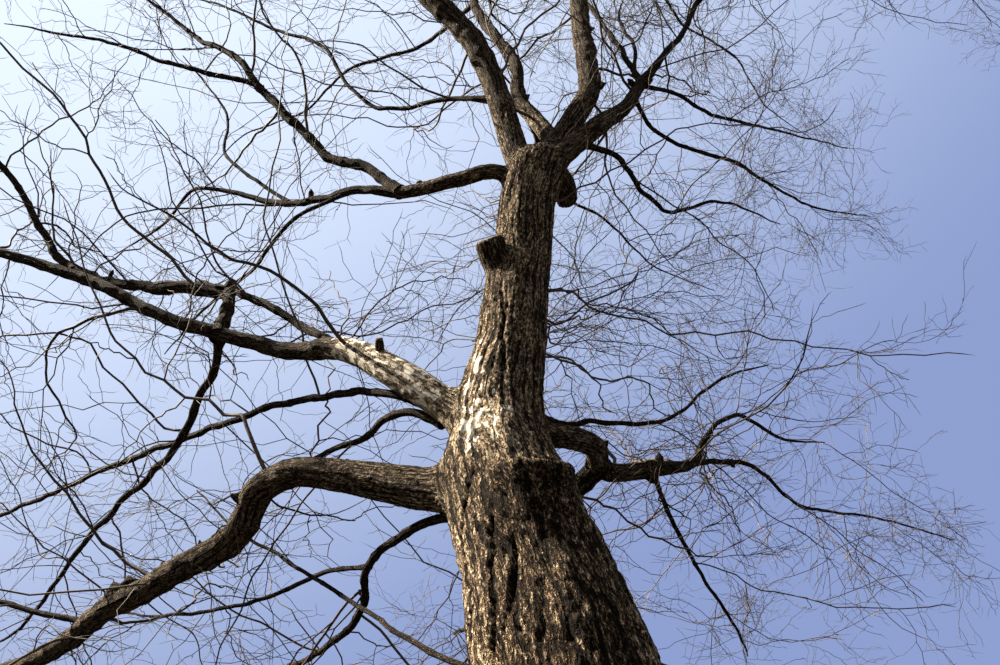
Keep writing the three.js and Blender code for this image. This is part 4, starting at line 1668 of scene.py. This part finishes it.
def from_trunk(**shape):
    """Branches that leave the upper trunk to the back and to the right, and rise a little."""
    height = rng.uniform(*TRUNK_SHOOTS_FROM, TRUNK_SHOOTS)
    turn = rng.uniform(*TRUNK_SHOOTS_TURNS, TRUNK_SHOOTS)
    out = np.stack([np.cos(turn), np.sin(turn), np.zeros(TRUNK_SHOOTS)], axis=1)
    depth = 0.8 * trunk.radius(height, turn)
    base = np.column_stack([trunk.middle(height), height]) + out * depth[:, None]
    heading = out + rng.uniform(*TRUNK_SHOOTS_RISE, TRUNK_SHOOTS)[:, None] * UP
    return free_branches(base, heading, **shape)


# Sprays that rise behind the left boughs: the bough, from where to where on it, how many, and the way.
SPRAYS = (
    ("mid_left_bough", (0.7, 2.1), 11, (0.15, 0.6, 0.8)),
    ("low_left_bough", (1.0, 1.9), 5, (0.0, 0.9, 0.45)),
)


def from_boughs(**shape):
    """The branches of the sprays."""
    groups = []
    for name, (first, last), count, way in SPRAYS:
        base, _, _, _, _ = limbs[name].at(np.linspace(first, last, count))
        heading = unit(np.array(way) + 0.35 * rng.normal(size=(count, 3)))
        groups.append(free_branches(base, heading, **shape))
    return joined_shoots(*groups)


def shoot_mesh(name, shoots, sides):
    """Shoots as joined prisms that close in a point, with a flat foot inside their parents."""
    count, places = shoots.points.shape[:2]
    tangents = unit(np.gradient(shoots.points, axis=1))
    across = square_to(shoots.side[:, None], tangents)
    other = np.cross(tangents, across)
    turns = even_turns(sides)
    out = np.cos(turns)[:, None] * across[:, :, None] + np.sin(turns)[:, None] * other[:, :, None]
    rings = shoots.points[:, :, None] + out * shoots.radii[:, :, None, None]
    body = rings[:, :-1].reshape(count, -1, 3)
    points = np.concatenate([body, shoots.points[:, -1:]], axis=1)
    each = points.shape[1]
    fan = end_fan((places - 2) * sides, sides, each - 1)
    own_faces = (ring_faces(places - 1, sides), fan, np.arange(sides)[::-1][None])
    starts = (np.arange(count) * each)[:, None, None]
    groups = [(starts + faces[None]).reshape(-1, faces.shape[1]) for faces in own_faces]
    mesh = mesh_of(name, points.reshape(-1, 3), *groups)
    tones = np.concatenate([np.repeat(shoots.tone, len(faces)) for faces in own_faces])
    mesh.polygons.foreach_set("material_index", tones.astype(np.int32))
    mesh.polygons.foreach_set("use_smooth", np.ones(len(mesh.polygons), bool))
    return mesh


def build_kind(kind, shoots, sides, pieces, materials):
    """The shoots of one kind, in as many pieces, from the crown's left to its right."""
    order = np.argsort(shoots.points[:, 0, 0], kind="stable")
    for part, chosen in enumerate(np.array_split(order, pieces)):
        name = kind if pieces == 1 else f"{kind}_{part + 1}"
        mesh = shoot_mesh(name, shoots.kept(chosen), sides)
        for material in materials:
            mesh.materials.append(material)
        piece = object_of(name, mesh)
        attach(piece, "root")


def build_shoots():
    branch = {"steps": 18, "tip": 0.0024}
    shoot = {"steps": 12, "tip": 0.0018}
    branches = joined_shoots(
        from_limbs(
            spacing=0.55, start=0.1, angle=(40, 75), share=0.4, extra=0.7, least=0.9, most=2.3,
            thinner=0.36, thickest=0.0095, pale_share=0.0, **branch,
        ),
        from_trunk(least=1.2, most=2.4, radius=0.006, **branch),
        from_boughs(least=0.9, most=1.9, radius=0.005, **branch),
    )
    shoots = joined_shoots(
        from_limbs(
            spacing=0.34, start=0.2, angle=(38, 75), share=0.4, extra=0.5, least=0.5, most=1.6,
            thinner=0.28, thickest=0.0055, pale_share=0.07, **shoot,
        ),
        grow_on(
            branches, chance=0.42, first=2, angle=(35, 70), share=0.75, least=0.5, most=1.5,
            thinner=0.6, thickest=0.0044, **shoot,
        ),
    )
    twigs = grow_on(
        shoots, chance=0.42, first=1, angle=(35, 70), share=0.75, least=0.3, most=0.95,
        thinner=0.7, thickest=0.0028, steps=8, tip=0.0014,
    )
    fine = grow_on(
        twigs, chance=0.22, first=1, angle=(35, 70), share=0.7, least=0.14, most=0.42,
        thinner=0.8, thickest=0.0019, steps=4, tip=0.0011,
    )
    materials = [mottled_material(f"twig_tone_{number}", *tones) for number, tones in enumerate(TWIG_TONES)]
    build_kind("branches", branches.rounded(), 6, 1, materials)
    build_kind("shoots", shoots, 4, 2, materials)
    build_kind("twigs", twigs, 3, 3, materials)
    build_kind("fine_twigs", fine, 3, 2, materials)


# Stage

SKY = (0.27, 0.355, 0.64)
GLOW = (1.0, 1.12, 1.3)
# How near the glow's middle the sky begins to be lighter, and where it would be lightest, as the
# cosine of the angle to it.
GLOW_EDGES = (0.3, 1.1)
# The ways to the sun, which stands high on the left, and to the middle of the sky's light part.
TO_SUN = (-0.69, 0.02, 0.72)
TO_GLOW = (-0.5, -0.1, 0.86)
# The floor is a round plate just under the tree.
FLOOR_RADIUS = 80
FLOOR_SIDES = 96
FLOOR_LEVEL = -0.002
FLOOR_COLOUR = (0.1, 0.1, 0.105)
# The viewer's eye, how far the camera is tilted up from looking straight down, in degrees, and its
# lens and film width in millimetres.
EYE = (-0.42, -2.3, 1.6)
TILT = 138
LENS = 35
FILM_WIDTH = 36
# The camera sees no further than this.
SIGHT = 500


def build_floor():
    """A plain floor that throws no light back on the tree."""
    mesh = bpy.data.meshes.new("floor")
    turns = even_turns(FLOOR_SIDES)
    level = np.full(FLOOR_SIDES, FLOOR_LEVEL)
    rim = np.column_stack([FLOOR_RADIUS * np.cos(turns), FLOOR_RADIUS * np.sin(turns), level])
    mesh.from_pydata(rim.tolist(), [], [list(range(FLOOR_SIDES))])
    mesh.materials.append(plain_material("floor_paint", FLOOR_COLOUR, 0.9))
    floor = object_of("floor", mesh)
    floor.visible_diffuse = False
    floor.visible_glossy = False


def build_backdrop():
    """A plain pale sky that only the camera sees, lighter toward the sun."""
    world = bpy.data.worlds.new("backdrop")
    bpy.context.scene.world = world
    world.use_nodes = True
    world.cycles_visibility.diffuse = False
    world.cycles_visibility.glossy = False
    graph = Graph(world.node_tree)
    way = graph.nodes.new("ShaderNodeTexCoord").outputs["Generated"]
    toward = graph.vector("DOT_PRODUCT", way, tuple(unit(np.array(TO_GLOW))))
    colour = graph.mix(graph.ramp(toward, *GLOW_EDGES), SKY, GLOW)
    graph.feed(graph.nodes["Background"].inputs["Color"], colour)


def add_sun(name, strength, spread, colour, way):
    """A light that comes from a way, spread over an angle in degrees."""
    light = bpy.data.lights.new(name, "SUN")
    light.energy = strength
    light.angle = math.radians(spread)
    light.color = colour
    made = object_of(name, light)
    made.rotation_euler = Vector(way).to_track_quat("Z", "Y").to_euler()


def build_lights():
    add_sun("key", 14.0, 2.0, (1.0, 0.9, 0.75), TO_SUN)
    add_sun("sky_fill", 1.0, 150, (0.9, 0.93, 1.0), (-0.1, -0.3, 1.0))
    add_sun("ground_fill", 0.42, 150, (1.0, 0.92, 0.8), (0.0, -0.2, -1.0))


def build_camera():
    lens = bpy.data.cameras.new("camera")
    lens.lens = LENS
    lens.sensor_width = FILM_WIDTH
    lens.clip_end = SIGHT
    camera = object_of("camera", lens)
    camera.location = EYE
    camera.rotation_euler = (math.radians(TILT), 0, 0)
    bpy.context.scene.camera = camera


build_camera()
build_floor()
build_backdrop()
build_lights()
bpy.context.scene.view_settings.view_transform = "Standard"
bark = bark_material("bark", 1.0, 24, BOUGH_TONES)
# The limbs' tones are darkened in part as painted shade.
limb_bark = bark_material("limb_bark", 0.55, 10, LIMB_TONES_WITH_SHADE)
build_skin(bark)
build_limbs(limb_bark)
build_snags(limb_bark)
build_shoots()
